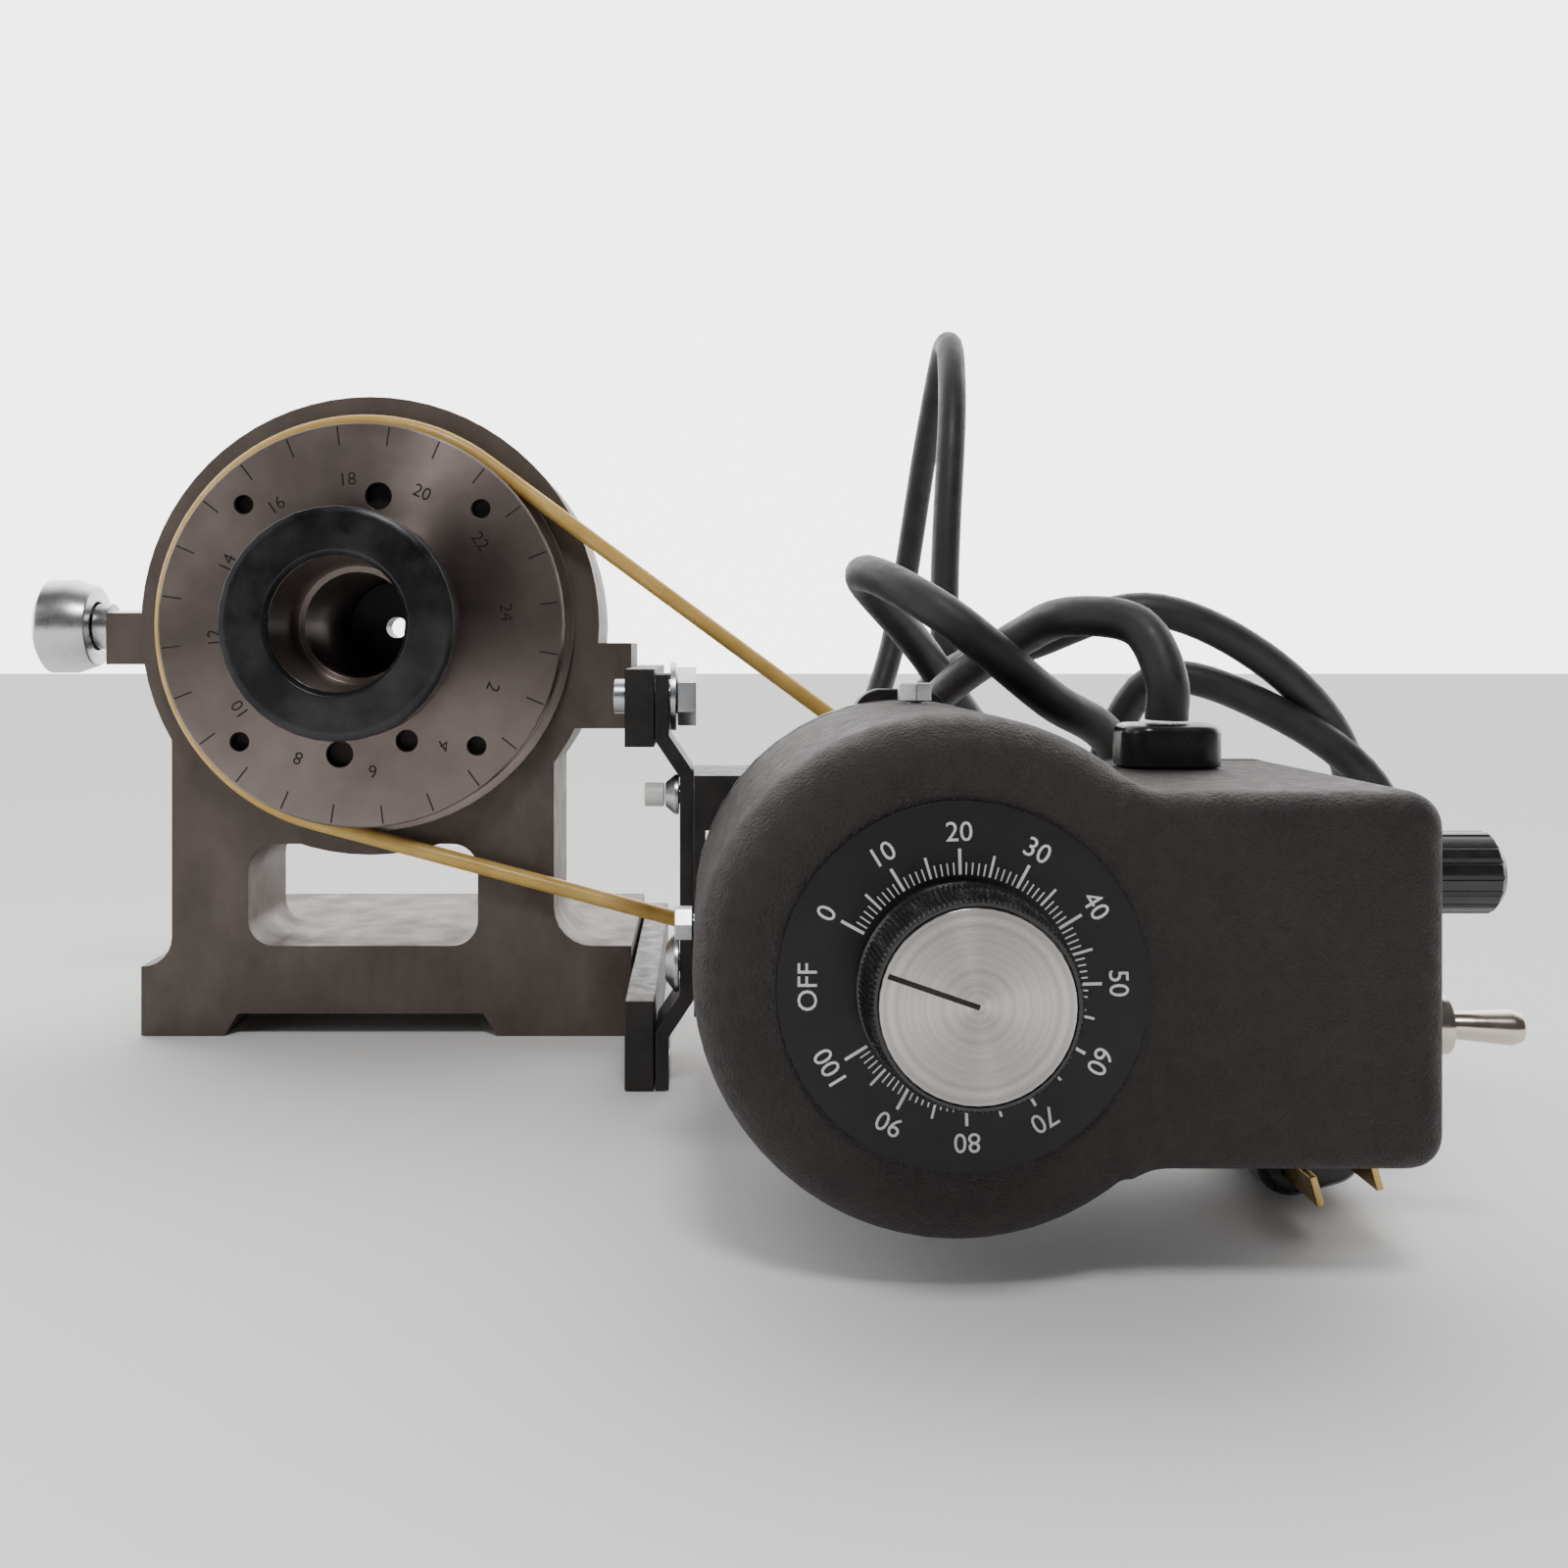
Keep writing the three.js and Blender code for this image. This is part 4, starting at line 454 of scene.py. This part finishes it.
def belt_run():
    """The round belt as a smooth loop on the same line as its CAD solid."""
    low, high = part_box("drive_belt")
    half = (high.y - low.y) / 2
    big = (SPINDLE.x - low.x) - half
    motor = middle("motor_pulley")
    small = (high.x - motor.x) - half
    reach = motor - SPINDLE
    heading = math.atan2(reach.z, reach.x)
    spread = math.acos((big - small) / math.hypot(reach.x, reach.z))
    path = []
    for centre, radius, start, end in (
        (SPINDLE, big, heading + spread, heading - spread + 2 * math.pi),
        (motor, small, heading - spread, heading + spread),
    ):
        for i in range(65):
            turn = start + (end - start) * i / 64
            path.append((centre.x + radius * math.cos(turn), BELT_Y, centre.z + radius * math.sin(turn)))
    belt = curve("belt_run", path, half * 0.98, "belt_urethane", cyclic=True)
    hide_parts("drive_belt")


def curve(name, path, radius, slot, cyclic=False):
    data = bpy.data.curves.new(name, "CURVE")
    data.dimensions = "3D"
    data.bevel_depth = radius
    data.bevel_resolution = 5
    data.use_fill_caps = True
    spline = data.splines.new("POLY")
    spline.points.add(len(path) - 1)
    for point, place in zip(spline.points, path):
        point.co = (*place, 1)
    spline.use_cyclic_u = cyclic
    spline.use_smooth = True
    obj = bpy.data.objects.new(name, data)
    bpy.context.collection.objects.link(obj)
    data.materials.append(MATERIALS[slot])
    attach(obj, "root")
    return obj


# ---------------------------------------------------------------- printed and engraved marks, and painted shade in the tapped holes
def bar_mark(build, centre, angle, inner, outer, width, y, thick):
    """A thin block along a radius, in millimetres, on the plane y."""
    turn = math.radians(angle)
    along = Vector((math.cos(turn), 0, math.sin(turn)))
    across = Vector((-math.sin(turn), 0, math.cos(turn)))
    corners = []
    for depth in (0, -thick):
        for r, s in ((inner, -1), (outer, -1), (outer, 1), (inner, 1)):
            place = Vector((centre.x, y, centre.z)) + along * r * MM + across * s * width * MM / 2
            corners.append(build.verts.new(place + Vector((0, depth * MM, 0))))
    for face in ((0, 1, 2, 3), (7, 6, 5, 4), (0, 4, 5, 1), (1, 5, 6, 2), (2, 6, 7, 3), (3, 7, 4, 0)):
        build.faces.new([corners[i] for i in face])


def number(build, text, centre, angle, radius, height, y, thick, upright=0.0):
    """Raised lettering on the plane y, its foot towards the centre when upright is 0."""
    data = bpy.data.curves.new("lettering", "FONT")
    data.body = text
    data.size = height * MM * 1.38
    data.align_x = "CENTER"
    data.align_y = "CENTER"
    data.extrude = thick * MM / 2
    data.resolution_u = 3
    obj = bpy.data.objects.new("lettering", data)
    bpy.context.collection.objects.link(obj)
    bpy.context.view_layer.update()
    mesh = bpy.data.meshes.new_from_object(obj.evaluated_get(bpy.context.evaluated_depsgraph_get()))
    turn = math.radians(angle)
    place = Vector((centre.x + radius * MM * math.cos(turn), y, centre.z + radius * MM * math.sin(turn)))
    lean = turn - math.pi / 2 + upright
    mesh.transform(Matrix.Translation(place) @ Matrix.Rotation(-lean, 4, "Y") @ Matrix.Rotation(math.pi / 2, 4, "X"))
    build.from_mesh(mesh)
    bpy.data.objects.remove(obj)


def dial_scale():
    """0 to 100 over 300 degrees, from the left, clockwise, with OFF below zero."""
    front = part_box("dial_plate")[0].y
    build = bmesh.new()
    first, step = 151.5, 3.0
    for i in range(101):
        if i % 10 == 0:
            outer, width = 25.1, 0.55
        elif i % 5 == 0:
            outer, width = 24.4, 0.45
        elif i < 52 or i > 80 or i % 2 == 0:
            outer, width = 22.6, 0.26
        else:
            continue
        bar_mark(build, DIAL, first - step * i, 20.4, outer, width, front, 0.08)
    for value in range(0, 101, 10):
        number(build, str(value), DIAL, first - step * value, 28.0, 3.7, front - 0.00004, 0.08)
    number(build, "OFF", DIAL, 180, 28.0, 3.7, front - 0.00004, 0.08)
    piece("dial_scale", build, PRINT)


def plate_marks():
    """Twenty-four divisions and the even numbers on the index plate."""
    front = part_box("index_plate")[0].y
    build = bmesh.new()
    for k in range(24):
        bar_mark(build, SPINDLE, 6.6 + 15 * k, 54.5, 60.2, 0.45, front, 0.04)
    for k in range(12):
        number(build, str(2 + 2 * k), SPINDLE, -25 - 30 * k, 44, 4.0, front - 0.00002, 0.04)
    piece("plate_marks", build, ENGRAVING_AND_HOLE_SHADE, "spindle_group")


# Tapped holes in the index plate: the circle that each is on, its angle in degrees and its radius.
PLATE_HOLES = (
    (50.5, 44, 3), (50.5, 134, 3), (50.5, -136, 3), (50.5, -46, 3),
    (39.3, 82, 4.15), (39.3, -99, 4.15), (37.5, -68, 3.4),
)


def hole_linings():
    """Painted shade: a dark lining on the thread and a dark floor inside each tapped hole, standing in for the shade
    within the holes.
    """
    low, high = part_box("index_plate")
    front, floor, wall = low.y + 0.0006, high.y - 0.0002, 0.2
    for index, (circle, angle, radius) in enumerate(PLATE_HOLES):
        turn = math.radians(angle)
        centre = SPINDLE + Vector((math.cos(turn), 0, math.sin(turn))) * circle * MM
        outer = radius - 0.1
        profile = [(0.05, floor), (outer, floor), (outer, front), (outer - wall, front)]
        profile += [(outer - wall, floor - wall * MM), (0.05, floor - wall * MM)]
        build = turned_mesh(profile, centre, 32)
        # painted shade: each dark lining darkens the hole where only shade falls
        piece("painted_hole_shade_%d" % index, build, ENGRAVING_AND_HOLE_SHADE, "spindle_group")


def knob_pointer():
    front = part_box("knob_insert")[0].y
    build = bmesh.new()
    bar_mark(build, DIAL, 161, -0.3, 16.3, 0.95, front, 0.05)
    piece("knob_pointer", build, ENGRAVING_AND_HOLE_SHADE, "speed_knob")


# ---------------------------------------------------------------- the mains cord
# Centreline from the strain relief to the plug, in millimetres from under the spindle.
CORD_RADIUS = 4.7
CORD_POINTS = (
    (206, -133, 104.3), (206, -133, 113), (201.5, -127, 125), (188.4, -116, 127.5),
    (181.2, -97, 123), (172, -66, 113), (168, -36, 105), (160, 20, 97), (156, 84, 76), (175, 118, 120),
    (188, 113, 200), (191, 86, 229), (188, 54, 206), (183, 38, 125), (190, 36, 44), (238, 36, 7.5),
    (278, 14, 16), (294, -14, 52), (284, -36, 92), (258, -44, 118), (226, -44, 131), (196, -32, 121),
    (177, -8, 112), (163, 40, 78), (190, 72, 16), (212, 28, 50), (171, -27, 113), (144, -82, 139),
    (160, -114, 128), (186, -107, 108), (204, -94, 97), (222, -68, 54), (215, -30, 70), (230, -38, 111),
    (262, -42, 103), (291, -46, 78), (296, -34, 24), (262, -18, 7.5), (239, -56, 7.8), (236, -100.6, 10),
)


def smooth_path(points, steps):
    """A centripetal Catmull-Rom curve through the points, with a set number of steps between each pair."""
    line = [Vector(p) for p in points]
    line = [2 * line[0] - line[1]] + line + [2 * line[-1] - line[-2]]
    path = []
    for p0, p1, p2, p3 in zip(line, line[1:], line[2:], line[3:]):
        t1 = (p1 - p0).length ** 0.5
        t2 = t1 + (p2 - p1).length ** 0.5
        t3 = t2 + (p3 - p2).length ** 0.5
        for i in range(steps):
            t = t1 + (t2 - t1) * i / steps
            a1 = p0 * (t1 - t) / t1 + p1 * t / t1
            a2 = p1 * (t2 - t) / (t2 - t1) + p2 * (t - t1) / (t2 - t1)
            a3 = p2 * (t3 - t) / (t3 - t2) + p3 * (t - t2) / (t3 - t2)
            b1 = a1 * (t2 - t) / t2 + a2 * t / t2
            b2 = a2 * (t3 - t) / (t3 - t1) + a3 * (t - t1) / (t3 - t1)
            path.append(b1 * (t2 - t) / (t2 - t1) + b2 * (t - t1) / (t2 - t1))
    path.append(line[-2])
    return path


def mains_cord():
    path = [at(*p) for p in smooth_path(CORD_POINTS, 8)]
    cord = curve("mains_cord", path, CORD_RADIUS * MM, "cord_rubber")
    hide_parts("power_cord")


# ---------------------------------------------------------------- the whole object
camera()
studio()
finish_nodes()
fine = {node: soften(node, width) for node, width in EDGES.items()}
fine["knob_insert"] = soften("knob_insert", 0.2, material=SPUN)
mains_cord()
case_skin()
knob_grip()
belt_run()
dial_scale()
plate_marks()
hole_linings()
knob_pointer()
